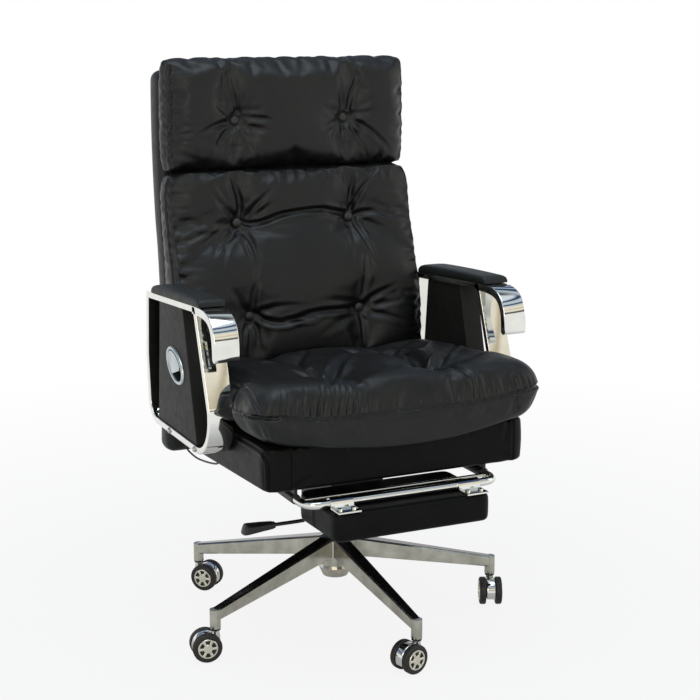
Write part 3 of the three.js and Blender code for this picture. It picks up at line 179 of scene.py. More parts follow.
def write_points(obj, points):
    obj.data.vertices.foreach_set("co", (np.asarray(points) * MM).ravel())
    obj.data.update()


def read_normals(obj):
    normals = np.empty(len(obj.data.vertices) * 3)
    obj.data.vertex_normals.foreach_get("vector", normals)
    return normals.reshape(-1, 3)


def apply_modifiers(obj):
    evaluated = obj.evaluated_get(bpy.context.evaluated_depsgraph_get())
    baked = bpy.data.meshes.new_from_object(evaluated)
    obj.modifiers.clear()
    old = obj.data
    obj.data = baked
    baked.name = obj.name
    bpy.data.meshes.remove(old)
    return obj


def subdivide(obj, levels):
    bm = bmesh.new()
    bm.from_mesh(obj.data)
    bmesh.ops.triangulate(bm, faces=[f for f in bm.faces if len(f.verts) > 4])
    bm.to_mesh(obj.data)
    bm.free()
    modifier = obj.modifiers.new("Subdivision", "SUBSURF")
    modifier.levels = modifier.render_levels = levels
    return apply_modifiers(obj)


def cut_with(obj, *cutters):
    """Cuts other closed meshes out of a piece and drops them."""
    for cutter in cutters:
        modifier = obj.modifiers.new("Cut", "BOOLEAN")
        modifier.operation, modifier.solver, modifier.object = "DIFFERENCE", "EXACT", cutter
    apply_modifiers(obj)
    for cutter in cutters:
        bpy.data.objects.remove(cutter)
    return obj


def joined(name, *parts):
    """Several meshes as one piece, with their materials kept."""
    bm = bmesh.new()
    materials = []
    for part in parts:
        start = len(bm.faces)
        bm.from_mesh(part.data)
        bm.faces.ensure_lookup_table()
        slots = list(part.data.materials)
        for face in bm.faces[start:]:
            material = slots[face.material_index] if slots else None
            if material not in materials:
                materials.append(material)
            face.material_index = materials.index(material)
    mesh = bpy.data.meshes.new(name)
    bm.to_mesh(mesh)
    bm.free()
    for material in materials:
        mesh.materials.append(material)
    obj = bpy.data.objects.new(name, mesh)
    scene.collection.objects.link(obj)
    for part in parts:
        bpy.data.objects.remove(part)
    return obj


def sweep(name, points, radius, material, sides=20, flat_normal=None):
    """A round bar along a line of points, with closed ends. radius is one size or one for each point."""
    p = np.array(points, float)
    radii = np.broadcast_to(np.asarray(radius, float), len(p))
    tangent = np.gradient(p, axis=0)
    tangent /= np.linalg.norm(tangent, axis=1)[:, None]
    normal = np.array(flat_normal, float) if flat_normal is not None else None
    if normal is None:
        axis = np.eye(3)[np.argmin(np.abs(tangent[0]))]
        normal = np.cross(tangent[0], axis)
    rings = []
    for i in range(len(p)):
        normal = normal - tangent[i] * (normal @ tangent[i])
        normal /= np.linalg.norm(normal)
        side = np.cross(tangent[i], normal)
        turn = np.arange(sides) * 2 * math.pi / sides
        rings.append(p[i] + radii[i] * (np.cos(turn)[:, None] * normal + np.sin(turn)[:, None] * side))
    return loft(name, rings, material)


def loft(name, rings, material, closed=False, sharp=40):
    """A skin through rings of points. Its ends are capped unless it closes on itself."""
    n, count = len(rings[0]), len(rings)
    faces = []
    for i in range(count if closed else count - 1):
        k = (i + 1) % count
        for j in range(n):
            m = (j + 1) % n
            faces.append((i * n + j, i * n + m, k * n + m, k * n + j))
    if not closed:
        faces.append(tuple(range(n))[::-1])
        faces.append(tuple((count - 1) * n + j for j in range(n)))
    return mesh_object(name, np.vstack(rings), faces, material, sharp=sharp)


def lathe(name, profile, material, steps=48, place=None, sharp=40):
    """A profile of (radius, height) turned about Z, then placed by a matrix in millimetres."""
    points, faces, rings = [], [], []
    for r, z in profile:
        if r < 1e-6:
            rings.append([len(points)])
            points.append((0, 0, z))
            continue
        rings.append(list(range(len(points), len(points) + steps)))
        turns = [2 * math.pi * k / steps for k in range(steps)]
        points += [(r * math.cos(turn), r * math.sin(turn), z) for turn in turns]
    for a, b in zip(rings, rings[1:]):
        for k in range(steps):
            m = (k + 1) % steps
            quad = [a[k % len(a)], a[m % len(a)], b[m % len(b)], b[k % len(b)]]
            quad = list(dict.fromkeys(quad))
            if len(quad) > 2:
                faces.append(quad)
    points = np.array(points, float)
    if place is not None:
        m = np.array(place)
        points = points @ m[:3, :3].T + m[:3, 3]
    return mesh_object(name, points, faces, material, sharp=sharp)


def slab(name, outline, x0, x1, bevel, material, segments=4, sharp=50):
    """An outline in (y, z) carried across x, with its long edges rounded."""
    points = [(x, y, z) for x in (x0, x1) for y, z in outline]
    n = len(outline)
    faces = [tuple(range(n)), tuple(range(2 * n - 1, n - 1, -1))]
    faces += [(k, (k + 1) % n, n + (k + 1) % n, n + k) for k in range(n)]
    obj = mesh_object(name, points, faces, material)
    if bevel:
        bm = bmesh.new()
        bm.from_mesh(obj.data)
        caps = {f for f in bm.faces if len(f.verts) == n}
        edges = [e for e in bm.edges if any(f in caps for f in e.link_faces)]
        bmesh.ops.bevel(bm, geom=edges, offset=bevel * MM, segments=segments, profile=0.5, affect="EDGES",
                        clamp_overlap=True)
        bm.to_mesh(obj.data)
        bm.free()
    shade(obj, sharp)
    return obj


# Materials
def material(name):
    made = bpy.data.materials.new(name)
    made.use_nodes = True
    tree = made.node_tree
    return made, tree, tree.nodes["Principled BSDF"]


def add_node(tree, kind, **settings):
    node = tree.nodes.new(kind)
    for key, value in settings.items():
        if key in node.inputs:
            node.inputs[key].default_value = value
        else:
            setattr(node, key, value)
    return node


def noise(tree, scale, detail=4.0, roughness=0.5):
    coords = tree.nodes.get("Texture Coordinate") or tree.nodes.new("ShaderNodeTexCoord")
    node = add_node(tree, "ShaderNodeTexNoise", Scale=scale, Detail=detail, Roughness=roughness)
    tree.links.new(coords.outputs["Object"], node.inputs["Vector"])
    return node.outputs["Fac"]


def cells(tree, scale):
    coords = tree.nodes.get("Texture Coordinate") or tree.nodes.new("ShaderNodeTexCoord")
    node = add_node(tree, "ShaderNodeTexVoronoi", Scale=scale)
    tree.links.new(coords.outputs["Object"], node.inputs["Vector"])
    return node.outputs["Distance"]


def ramp(tree, source, low, high, first, last):
    node = tree.nodes.new("ShaderNodeValToRGB")
    node.color_ramp.elements[0].position, node.color_ramp.elements[1].position = low, high
    node.color_ramp.elements[0].color, node.color_ramp.elements[1].color = (*first, 1), (*last, 1)
    tree.links.new(source, node.inputs["Fac"])
    return node.outputs["Color"]


def spread(tree, source, low, high, from_low=0.3, from_high=0.7):
    node = add_node(tree, "ShaderNodeMapRange")
    for key, value in (("From Min", from_low), ("From Max", from_high), ("To Min", low), ("To Max", high)):
        node.inputs[key].default_value = value
    tree.links.new(source, node.inputs["Value"])
    return node.outputs["Result"]


def bump(tree, shader, *layers):
    """Stacked bumps, each (source, distance in metres, strength)."""
    last = None
    for source, distance, strength in layers:
        node = add_node(tree, "ShaderNodeBump", Strength=strength, Distance=distance)
        tree.links.new(source, node.inputs["Height"])
        if last is not None:
            tree.links.new(last, node.inputs["Normal"])
        last = node.outputs["Normal"]
    tree.links.new(last, shader.inputs["Normal"])


def leather(name, dark, light, rough, gloss=0.27, grain=820, grain_strength=0.22):
    made, tree, shader = material(name)
    tree.links.new(ramp(tree, noise(tree, 14, 5), 0.3, 0.75, dark, light), shader.inputs["Base Color"])
    tree.links.new(spread(tree, noise(tree, 60, 4), rough[0], rough[1]), shader.inputs["Roughness"])
    shader.inputs["Specular IOR Level"].default_value = gloss
    bump(tree, shader, (noise(tree, 38, 3), 0.0009, 0.35), (cells(tree, grain), 0.0002, grain_strength))
    return made


def metal(name, color, rough, wear=0.02, ripple=0.0, stain=0.9):
    made, tree, shader = material(name)
    shader.inputs["Metallic"].default_value = 1
    dull = tuple(stain * c for c in color)
    tree.links.new(ramp(tree, noise(tree, 30, 4), 0.35, 0.7, dull, color), shader.inputs["Base Color"])
    tree.links.new(spread(tree, noise(tree, 90, 5), rough, rough + wear), shader.inputs["Roughness"])
    if ripple:
        bump(tree, shader, (noise(tree, 9, 2), 0.002, ripple))
    return made


def plastic(name, dark, light, rough, grain=0.1, coat=0.0):
    made, tree, shader = material(name)
    tree.links.new(ramp(tree, noise(tree, 40, 4), 0.35, 0.7, dark, light), shader.inputs["Base Color"])
    tree.links.new(spread(tree, noise(tree, 160, 4), rough, rough + 0.08), shader.inputs["Roughness"])
    shader.inputs["Coat Weight"].default_value = coat
    bump(tree, shader, (noise(tree, 900, 2), 0.0001, grain))
    return made


black_leather = leather("black_leather", (0.003, 0.0034, 0.0038), (0.0075, 0.0074, 0.0064), (0.4, 0.5), 0.34)
# A darker, less glossy copy of the black leather: painted shade for the less lit seat base and footrest pad
painted_shade_leather = leather("painted_shade_leather", (0.003, 0.003, 0.0028), (0.006, 0.006, 0.0055), (0.36, 0.46), 0.1)
gusset_leather = leather("gusset_leather", (0.008, 0.009, 0.009), (0.013, 0.014, 0.014), (0.4, 0.5), 0.34)
arm_leather = leather("arm_leather", (0.01, 0.01, 0.0088), (0.017, 0.017, 0.015), (0.5, 0.6), 0.22, 600)
# A lighter copy of the black leather for the leather-covered buttons: painted sheen
painted_sheen_button_leather = leather("painted_sheen_button_leather", (0.026, 0.025, 0.022), (0.036, 0.034, 0.03), (0.42, 0.5), 0.4, 600)
pad_leather = leather("pad_leather", (0.012, 0.014, 0.014), (0.018, 0.02, 0.0195), (0.5, 0.6), 0.3, 600)
thread = plastic("thread", (0.012, 0.012, 0.013), (0.03, 0.03, 0.032), 0.55)
chrome = metal("chrome", (0.8, 0.8, 0.76), 0.04, 0.03, 0.11)
cast_metal = metal("cast_metal", (0.64, 0.62, 0.53), 0.14, 0.1, 0.35, 0.7)
rim_metal = metal("rim_metal", (0.86, 0.83, 0.7), 0.24, 0.08)
satin_metal = metal("satin_metal", (0.55, 0.6, 0.6), 0.28, 0.08)
zinc_metal = metal("zinc_metal", (0.5, 0.5, 0.5), 0.32, 0.1)
black_steel = plastic("black_steel", (0.012, 0.0125, 0.014), (0.02, 0.0205, 0.022), 0.38, 0.05)
black_plastic = plastic("black_plastic", (0.012, 0.012, 0.012), (0.02, 0.02, 0.02), 0.4, 0.25)
gloss_inlay = plastic("gloss_inlay", (0.006, 0.006, 0.007), (0.012, 0.012, 0.013), 0.1, 0.02, 0.6)
tyre_rubber = plastic("tyre_rubber", (0.014, 0.0118, 0.0095), (0.024, 0.021, 0.017), 0.5, 0.3)


# Stuffed forms
def stuffed(name, half, low, high, border, corner, cells_across, steps, top, seam, welt, bottom, place,
            power=2.0, wall=4, bulge=0.0, surface=None):
    """Two faces over a rounded rectangle, each falling to a seam, and a side wall between them.
    Heights are functions of the plan (x, v). Returns the piece and the ring of its upper seam."""

    def lines(a, b, count):
        edge = np.sin(np.arange(1, steps + 1) / steps * math.pi / 2) ** (2 / power)
        middle = np.linspace(a + border, b - border, count + 1)
        at = np.concatenate([np.full(steps, a + border), middle, np.full(steps, b - border)])
        return at, np.concatenate([-edge[::-1], np.zeros(count + 1), edge])

    (ua, uo), (va, vo) = lines(-half, half, cells_across[0]), lines(low, high, cells_across[1])

    def fall(t):
        return (1 - np.minimum(np.abs(t), 1) ** power) ** (1 / power)

    def rounding(t):
        return 1 - corner / border * (1 - np.sqrt(1 - t * t / 2))

    def point(u, v, a, b, face, edge, share=None):
        x = u + border * a * rounding(b)
        y = v + border * b * rounding(a)
        share = fall(a) * fall(b) if share is None else share
        return x, y, edge(x, y) + (face(x, y) - edge(x, y)) * share

    nu, nv = len(ua), len(va)
    gu, gv = np.meshgrid(np.arange(nu), np.arange(nv), indexing="ij")
    gu, gv = gu.ravel(), gv.ravel()
    plan = [np.stack(point(ua[gu], va[gv], uo[gu], vo[gv], top, seam), axis=1)]
    index = np.arange(nu * nv).reshape(nu, nv)
    faces = [
        (index[i, j], index[i + 1, j], index[i + 1, j + 1], index[i, j + 1])
        for i in range(nu - 1)
        for j in range(nv - 1)
    ]
    rim = (
        [(i, 0) for i in range(nu - 1)]
        + [(nu - 1, j) for j in range(nv - 1)]
        + [(i, nv - 1) for i in range(nu - 1, 0, -1)]
        + [(0, j) for j in range(nv - 1, 0, -1)]
    )
    ri, rj = np.array(rim).T
    ring = index[ri, rj]
    edge_ring = ring
    total = nu * nv

    def add_ring(new):
        nonlocal ring, total
        plan.append(new)
        fresh = np.arange(total, total + len(rim))
        total += len(rim)
        n = len(rim)
        for k in range(n):
            m = (k + 1) % n
            faces.append((ring[k], fresh[k], fresh[m], ring[m]))
        ring = fresh

    x, y, z_seam = point(ua[ri], va[rj], uo[ri], vo[rj], top, seam, 0)
    z_welt = welt(x, y)
    out = np.stack([np.roll(y, -1) - np.roll(y, 1), np.roll(x, 1) - np.roll(x, -1)], axis=1)
    out /= np.linalg.norm(out, axis=1)[:, None]
    for k in range(1, wall):
        t = k / wall
        push = bulge * math.sin(math.pi * t)
        level = z_seam + (z_welt - z_seam) * t
        add_ring(np.stack([x + out[:, 0] * push, y + out[:, 1] * push, level], axis=1))
    for t in np.abs(vo[:steps]):
        share = 1 if t == np.abs(vo[steps - 1]) else None
        add_ring(np.stack(point(ua[ri], va[rj], uo[ri] * t, vo[rj] * t, bottom, welt, share), axis=1))
    plan = np.vstack(plan)
    faces.append(tuple(ring))
    points = np.stack(place(plan[:, 0], plan[:, 1], plan[:, 2]), axis=1)
    return mesh_object(name, points, faces, surface), edge_ring


def dimple(x, v, cx, cv, depth, spread_mm):
    """A soft round pit."""
    return depth * np.exp(-((x - cx) ** 2 + (v - cv) ** 2) / (2 * spread_mm**2))


def fold(x, v, a, b, depth, width):
    """A soft valley between two places."""
    a, b = np.array(a, float), np.array(b, float)
    d = b - a
    t = np.clip(((x - a[0]) * d[0] + (v - a[1]) * d[1]) / (d @ d), 0, 1)
    gap = np.hypot(x - a[0] - t * d[0], v - a[1] - t * d[1])
    return depth * np.exp(-((gap / width) ** 2) / 2)


def crease_field(flat, creases):
    """How far each point, seen on a plane, moves along its normal for a list of creases.
    A crease is (depth, half width, fade, points): a valley with a raised lip on both sides.
    It fades toward its last point, or toward both ends where fade is 2."""
    total = np.zeros(len(flat))
    for depth, width, fade, points in creases:
        line = smooth_line(points)
        low, high = line.min(0) - 5 * width, line.max(0) + 5 * width
        near = np.flatnonzero(np.all((flat > low) & (flat < high), axis=1))
        if not len(near):
            continue
        p = flat[near]
        best, share = np.full(len(near), 1e9), np.zeros(len(near))
        for k in range(len(line) - 1):
            a, d = line[k], line[k + 1] - line[k]
            t = np.clip(((p - a) @ d) / max(d @ d, 1e-9), 0, 1)
            gap = np.linalg.norm(p - a - t[:, None] * d, axis=1)
            closer = gap < best
            best = np.where(closer, gap, best)
            share = np.where(closer, (k + t) / (len(line) - 1), share)
        taper = {0: 1 + 0 * share, 1: 1 - share**1.6, 2: np.sin(math.pi * np.clip(share, 0, 1)) ** 0.7}[fade]
        narrow = width * (0.65 + 0.35 * taper)
        s = best / narrow
        lip = 0.42 * np.exp(-(((s - 2.1) / 0.9) ** 2))
        total[near] += depth * taper * (-np.exp(-s * s) + lip)
    return total


def puckers(rng, start, end, inward, gap, reach, depth, width):
    """Short creases that run inwards from a seam between two points, unevenly spaced."""
    start, end, inward = np.array(start, float), np.array(end, float), np.array(inward, float)
    length = np.linalg.norm(end - start)
    place, made = rng.uniform(0.3, 1) * gap, []
    while place < length:
        root = start + (end - start) * place / length
        aim = inward / np.linalg.norm(inward) + rng.normal(0, 0.16, 2)
        far = root + aim * reach * rng.uniform(0.45, 1.15)
        size = depth * rng.uniform(0.5, 1.2), width * rng.uniform(0.8, 1.25)
        made.append((*size, 1, [root, (root + far) / 2, far]))
        place += gap * rng.uniform(0.55, 1.5)
    return made


def relax_as_cloth(obj, pinned, pressure, limit, frames=16):
    """Lets a stuffed skin swell and wrinkle as cloth round its pinned points, none past a limit."""
    before = read_points(obj)
    group = obj.vertex_groups.new(name="pinned")
    group.add([int(i) for i in np.flatnonzero(pinned)], 1.0, "REPLACE")
    modifier = obj.modifiers.new("Cloth", "CLOTH")
    settings = modifier.settings
    settings.quality = 5
    settings.mass = 0.4
    settings.tension_stiffness = settings.compression_stiffness = 12
    settings.shear_stiffness = 5
    settings.bending_stiffness = 0.6
    settings.shrink_min = -0.035
    settings.use_pressure = True
    settings.uniform_pressure_force = pressure
    settings.vertex_group_mass = "pinned"
    settings.effector_weights.gravity = 0
    modifier.collision_settings.use_collision = False
    modifier.point_cache.frame_start, modifier.point_cache.frame_end = 1, frames
    for number in range(1, frames + 1):
        scene.frame_set(number)
    apply_modifiers(obj)
    scene.frame_set(1)
    after = read_points(obj)
    step = after - before
    size = np.linalg.norm(step, axis=1)
    scale = np.minimum(1, limit / np.maximum(size, 1e-6))
    write_points(obj, before + step * scale[:, None])
    obj.vertex_groups.clear()
    return obj


def stitches(name, path, spacing, radius, body):
    """A row of stitches lying along a path of points."""
    share, sides, ends = 0.62, 6, 0.45
    p = np.asarray(path, float)
    gaps = np.linalg.norm(np.diff(p, axis=0), axis=1)
    place = np.concatenate([[0], np.cumsum(gaps)])
    at = spacing / 2
    points, faces = [], []
    while at + spacing * share < place[-1]:
        stops = np.linspace(at, at + spacing * share, 4)
        line = np.stack([np.interp(stops, place, p[:, k]) for k in range(3)], axis=1)
        tangent = line[-1] - line[0]
        tangent /= np.linalg.norm(tangent)
        axis = np.eye(3)[np.argmin(np.abs(tangent))]
        normal = np.cross(tangent, axis)
        normal /= np.linalg.norm(normal)
        side = np.cross(tangent, normal)
        base = len(points)
        for q, r in zip(line, (ends, 1, 1, ends)):
            for j in range(sides):
                turn = 2 * math.pi * j / sides
                points.append(q + radius * r * (math.cos(turn) * normal + math.sin(turn) * side))
        for k in range(3):
            low, high = base + k * sides, base + (k + 1) * sides
            for j in range(sides):
                m = (j + 1) % sides
                faces.append((low + j, low + m, high + m, high + j))
        faces.append(tuple(base + j for j in range(sides))[::-1])
        faces.append(tuple(base + 3 * sides + j for j in range(sides)))
        at += spacing
    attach(mesh_object(name, points, faces, thread), body)


def on_surface(obj, points, lift=0.0):
    """A soft curve through a few points, brought to the nearest places on a piece."""
    corners = [v.co[:] for v in obj.data.vertices]
    tree = BVHTree.FromPolygons(corners, [p.vertices[:] for p in obj.data.polygons])
    made = []
    for p in smooth_line(points, 8):
        place, normal, _, _ = tree.find_nearest(Vector(p) * MM)
        made.append(np.array(place + normal * lift * MM) / MM)
    return np.array(made)


def press_seams(obj, seams):
    """Presses seams (depth, half width, points) into a piece, each along its nearest surface."""
    lines = [(depth, width, 0, on_surface(obj, points)) for depth, width, points in seams]
    points, normals = read_points(obj), read_normals(obj)
    write_points(obj, points + normals * crease_field(points, lines)[:, None])


# Camera, fitted to the photograph
def add_camera():
    yaw, pitch, roll = math.radians(24.68), math.radians(12.06), -0.0034
    place, sensor, lens = (-1.255, -2.810, 1.229), 36, 78.28
    forward = Vector((math.sin(yaw) * math.cos(pitch), math.cos(yaw) * math.cos(pitch), -math.sin(pitch)))
    level = forward.cross(Vector((0, 0, 1))).normalized()
    right = level * math.cos(roll) + level.cross(forward) * math.sin(roll)
    up = right.cross(forward)
    data = bpy.data.cameras.new("camera")
    data.sensor_width, data.lens = sensor, lens
    camera = bpy.data.objects.new("camera", data)
    scene.collection.objects.link(camera)
    turn = Matrix((right, up, -forward)).transposed().to_4x4()
    camera.matrix_world = Matrix.Translation(place) @ turn
    data.clip_end = 60
    scene.camera = camera


add_camera()


# The release cable, which bows out under the right arm
def add_cable():
    route = [(212, -11.5), (212, 2), (210, 8), (203, 14.5), (186, 20), (140, 23.6), (95, 21), (51, 16),
             (22, 11.4), (8, 7.5), (4, 2), (4, -11.5)]
    points = [(GLAND_X, y, BASE_UNDER - SEAT_SLOPE * y - hang) for y, hang in route]
    dense = smooth_line(points, 5)
    cable = sweep("release_cable", dense, CABLE_RADIUS, black_plastic, 14, (1, 0, 0))
    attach(cable, "seat")
    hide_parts("recline_cable")


add_cable()


# Back: the shell and its cushions, with heights above the recline hinge
SHELL_REAR = [(-66, 368), (45, 357), (265, 345), (386, 352), (464, 364), (608, 373), (725, 370), (811, 362)]
CUSHION_DEPTH = [(120, 152), (185, 167), (271, 160), (365, 134), (452, 116), (565, 110), (667, 116),
                 (811, 96)]
SHELL_HALF, SHELL_LOW, SHELL_HIGH = 267, -64, 770
BACK_HALF, BACK_LOW, BACK_HIGH = 276, 120, 561
HEAD_HALF, HEAD_LOW, HEAD_HIGH = 272, 563, 793
# Buttons as x, height and y of their middles, with their turned profile and how far they stand proud
BUTTONS = {"head": (125, 667, 225), "mid": (130, 452, 210), "low": (128, 260, 151)}
BUTTON_PROFILE = [(0, -4), (9.2, -4), (10, -2.6), (10, -0.6), (9.2, 1.0), (7.4, 2.4), (4.6, 3.4), (2, 3.9),
                  (0, 4)]
BUTTON_PROUD = 4.8


def shell_rear(z):
    return along(SHELL_REAR, z)


def shell_front(z):
    return shell_rear(z) - SHELL_THICKNESS


def sag(button):
    """How deep the cushion sinks at a button."""
    _, rise, y = BUTTONS[button]
    return float(along(CUSHION_DEPTH, rise) - (shell_front(rise) - y)) - BUTTON_PROUD


def on_shell(x, z, depth):
    return x, shell_front(z) - depth, z + RECLINE_Z


def tuft_pit(x, z, cx, cz, depth):
    return dimple(x, z, cx, cz, depth * 0.66, 58) + dimple(x, z, cx, cz, depth * 0.34, 20)


# Creases traced from the photograph: depth, half width, fade, and points as x and height over the floor
HEAD_CREASES = [
    (7, 4.5, 1, [(-124, 1045), (-122, 1049), (-133, 1088), (-141, 1125), (-142, 1146)]),
    (3, 5, 1, [(-162, 1158), (-152, 1132), (-140, 1090)]),
    (6, 4.5, 1, [(-116, 1036), (-76, 1037), (-36, 1030)]),
    (5, 5, 1, [(-112, 1027), (-81, 1015), (-42, 1006)]),
    (4, 7, 1, [(-116, 1042), (-90, 1052), (-62, 1064)]),
    (3, 7, 1, [(-117, 1046), (-84, 1083)]),
    (3, 6, 1, [(-121, 1050), (-106, 1094)]),
    (4, 5, 1, [(-132, 1043), (-155, 1056), (-182, 1077)]),
    (7, 5, 1, [(-132, 1032), (-185, 1021), (-228, 996)]),
    (6, 5, 1, [(-130, 1026), (-166, 992), (-186, 955)]),
    (5, 4, 1, [(-127, 1024), (-151, 982), (-160, 955)]),
    (5, 5, 1, [(-116, 1024), (-104, 987), (-86, 952)]),
    (4, 6, 1, [(-160, 990), (-166, 960), (-168, 938)]),
    (3, 5, 1, [(-120, 1022), (-124, 985), (-130, 960)]),
    (7, 3.5, 1, [(131, 1047), (138, 1082), (148, 1110), (160, 1146)]),
    (5, 3, 1, [(136, 1049), (147, 1089), (168, 1142)]),
    (4, 5, 1, [(124, 1048), (114, 1082), (104, 1134)]),
    (4, 6, 1, [(138, 1040), (169, 1063), (204, 1079)]),
    (4, 5, 1, [(140, 1036), (184, 1047), (205, 1050)]),
    (6, 4.5, 1, [(138, 1029), (173, 1009), (209, 979), (232, 956)]),
    (6, 4, 1, [(135, 1024), (152, 989), (177, 944)]),
    (6, 3.5, 1, [(124, 1022), (115, 983), (131, 932)]),
    (4, 6, 1, [(116, 1040), (92, 1050), (62, 1060)]),
    (4, 6, 1, [(117, 1030), (90, 1018), (52, 1004)]),
    (3, 6, 1, [(120, 1024), (104, 1004), (86, 982)]),
]
BACK_CREASES = [
    (8, 4.5, 1, [(-124, 822), (-123, 864), (-132, 896), (-142, 924)]),
    (4, 5, 1, [(-132, 824), (-156, 849), (-178, 874), (-200, 900)]),
    (3, 5, 1, [(-130, 828), (-148, 855), (-166, 888), (-188, 922)]),
    (7, 4.5, 1, [(-117, 820), (-90, 856), (-62, 883), (-34, 910)]),
    (4, 5, 1, [(-113, 818), (-72, 848), (-30, 866)]),
    (7, 4, 0, [(-114, 815), (-76, 820), (-35, 833), (12, 839), (59, 840), (88, 834), (124, 825)]),
    (4, 6, 1, [(-113, 812), (-68, 799), (-8, 792)]),
    (8, 4.5, 1, [(-120, 804), (-109, 778), (-105, 744), (-112, 711), (-120, 674)]),
    (5, 4, 1, [(-125, 802), (-121, 765), (-115, 720)]),
    (3, 7, 1, [(-115, 804), (-88, 757), (-46, 740)]),
    (5, 5, 1, [(-130, 804), (-166, 774), (-187, 722)]),
    (6, 5, 1, [(-132, 806), (-175, 782), (-202, 754)]),
    (4, 5, 1, [(-134, 810), (-180, 802), (-212, 785)]),
    (4, 6, 1, [(-136, 815), (-189, 821), (-226, 820)]),
    (5, 4, 2, [(-196, 807), (-232, 798), (-258, 790)]),
    (7, 4, 1, [(135, 834), (137, 877), (148, 922)]),
    (7, 3.5, 1, [(138, 834), (154, 872), (180, 904), (203, 924)]),
    (6, 4.5, 1, [(145, 823), (180, 829), (219, 820), (268, 817)]),
    (4, 5, 1, [(144, 818), (177, 803), (218, 789)]),
    (7, 4, 1, [(140, 814), (152, 776), (163, 741), (176, 704)]),
    (3, 5, 1, [(135, 812), (128, 764), (124, 710)]),
    (3, 6, 1, [(126, 815), (100, 804), (72, 790)]),
    (6, 4.5, 2, [(147, 745), (143, 701), (135, 650)]),
    (7, 4.5, 0, [(-114, 628), (-87, 615), (-51, 614), (-12, 625), (42, 630), (118, 626)]),
    (5, 5, 1, [(-114, 634), (-63, 647), (-5, 647)]),
    (5, 4, 2, [(-62, 622), (-13, 617), (24, 619)]),
    (6, 5, 1, [(-123, 638), (-118, 677), (-99, 714)]),
    (4, 6, 1, [(-134, 636), (-150, 660), (-168, 688)]),
    (6, 4, 1, [(-130, 616), (-144, 595), (-150, 560)]),
    (6, 4, 1, [(-119, 616), (-115, 592), (-113, 560)]),
    (5, 4, 1, [(-126, 614), (-134, 574), (-134, 545)]),
    (7, 5, 1, [(139, 632), (171, 656), (218, 677)]),
    (6, 5, 1, [(141, 628), (181, 634), (238, 641)]),
    (5, 5, 1, [(140, 621), (179, 609), (242, 590)]),
    (7, 3.5, 1, [(128, 614), (131, 586), (129, 546)]),
    (4, 3, 1, [(134, 613), (139, 586), (136, 550)]),
    (4, 7, 1, [(120, 620), (64, 601), (20, 580)]),
    (4, 6, 1, [(120, 634), (60, 650), (10, 655)]),
]


def plane_of(points, a, b):
    return points[:, [a, b]]


def back_form(name, node, half, low, high, corner, seam_share, depth_at, creases, tufts, seed):
    """A stuffed cushion on the shell. Its creases are calm at the tufts, where buttons sit in dishes."""
    roll, welt_depth, pinned_depth, pinned_radius = 52, 30.0, 34, 12
    calm_from, calm_over, dish_radius = 10, 12, 24
    piece, ring = stuffed(
        name, half, low, high, roll, corner, (56, max(8, round((high - low) / 9.5))), 7,
        top=lambda x, z: along(CUSHION_DEPTH, z) + depth_at(x, z),
        seam=lambda x, z: along(CUSHION_DEPTH, z) * seam_share,
        welt=lambda x, z: np.full_like(x, welt_depth),
        bottom=lambda x, z: np.full_like(x, SHELL_REST),
        place=on_shell, wall=6, bulge=3.0, surface=black_leather,
    )
    points = read_points(piece)
    pinned = np.zeros(len(points), bool)
    pinned[ring] = True
    depth = shell_front(points[:, 2] - RECLINE_Z) - points[:, 1]
    pinned |= depth < pinned_depth
    for cx, cz, _ in tufts:
        pinned |= np.hypot(points[:, 0] - cx, points[:, 2] - RECLINE_Z - cz) < pinned_radius
    relax_as_cloth(piece, pinned, 1.6, 7)
    subdivide(piece, 2)
    points = read_points(piece)
    normals = read_normals(piece)
    rng = np.random.default_rng(seed)
    bottom, top = low + RECLINE_Z, high + RECLINE_Z
    edge = half - 8
    rows = puckers(rng, (-edge, bottom + 20), (-edge, top - 20), (1, 0), 21, 56, 1.7, 5)
    rows += puckers(rng, (edge, bottom + 20), (edge, top - 20), (-1, 0), 26, 46, 1.5, 5)
    rows += puckers(rng, (-edge + 20, top - 6), (edge - 20, top - 6), (0, -1), 34, 40, 1.1, 7)
    rows += puckers(rng, (-edge + 20, bottom + 6), (edge - 20, bottom + 6), (0, 1), 38, 36, 1.2, 7)
    facing = np.clip(-normals[:, 1] * 1.6, 0, 1)
    softer = [(0.72 * depth, 1.25 * width, kind, path) for depth, width, kind, path in creases]
    field = crease_field(plane_of(points, 0, 2), softer + rows) * facing
    for cx, cz, _ in tufts:
        away = np.hypot(points[:, 0] - cx, points[:, 2] - RECLINE_Z - cz)
        field *= 0.3 + 0.7 * smoothstep((away - calm_from) / calm_over)
    sides = np.clip(np.abs(normals[:, 0]) * 1.5 - 0.4, 0, 1)
    wall_rows = puckers(rng, (60, bottom + 14), (60, top - 14), (1, 0), 24, 120, 2.4, 6)
    long_rows = [(depth, width, 0, [path[0], path[-1] + (160, 0)]) for depth, width, _, path in wall_rows]
    field += crease_field(plane_of(points, 1, 2), long_rows) * sides * 0.4
    points += normals * field[:, None]
    for cx, cz, cy in tufts:
        away = np.hypot(points[:, 0] - cx, points[:, 2] - RECLINE_Z - cz)
        dish = cy + 3 - away**2 / 40
        above = (away < dish_radius) & (points[:, 1] < shell_front(cz) - 20)
        points[above, 1] = np.maximum(points[above, 1], dish[above])
    write_points(piece, points)
    for tag, s in SIDES:
        line = [(s * (half - 11), float(shell_front(z) - 0.7 * along(CUSHION_DEPTH, z)), z + RECLINE_Z)
                for z in np.linspace(low + 16, high - 14, 7)]
        press_seams(piece, [(2.6, 3, line)])
        row = on_surface(piece, [(x - s * 5, y - 5, z) for x, y, z in line], 0.1)
        stitches(f"{node}_stitches_{tag}", row, 6.5, 0.6, "back")
    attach(piece, "back")
    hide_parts(node)
    return piece


def tufts_of(*buttons):
    return [(s * x, z, y) for s in (-1, 1) for x, z, y in (BUTTONS[button] for button in buttons)]


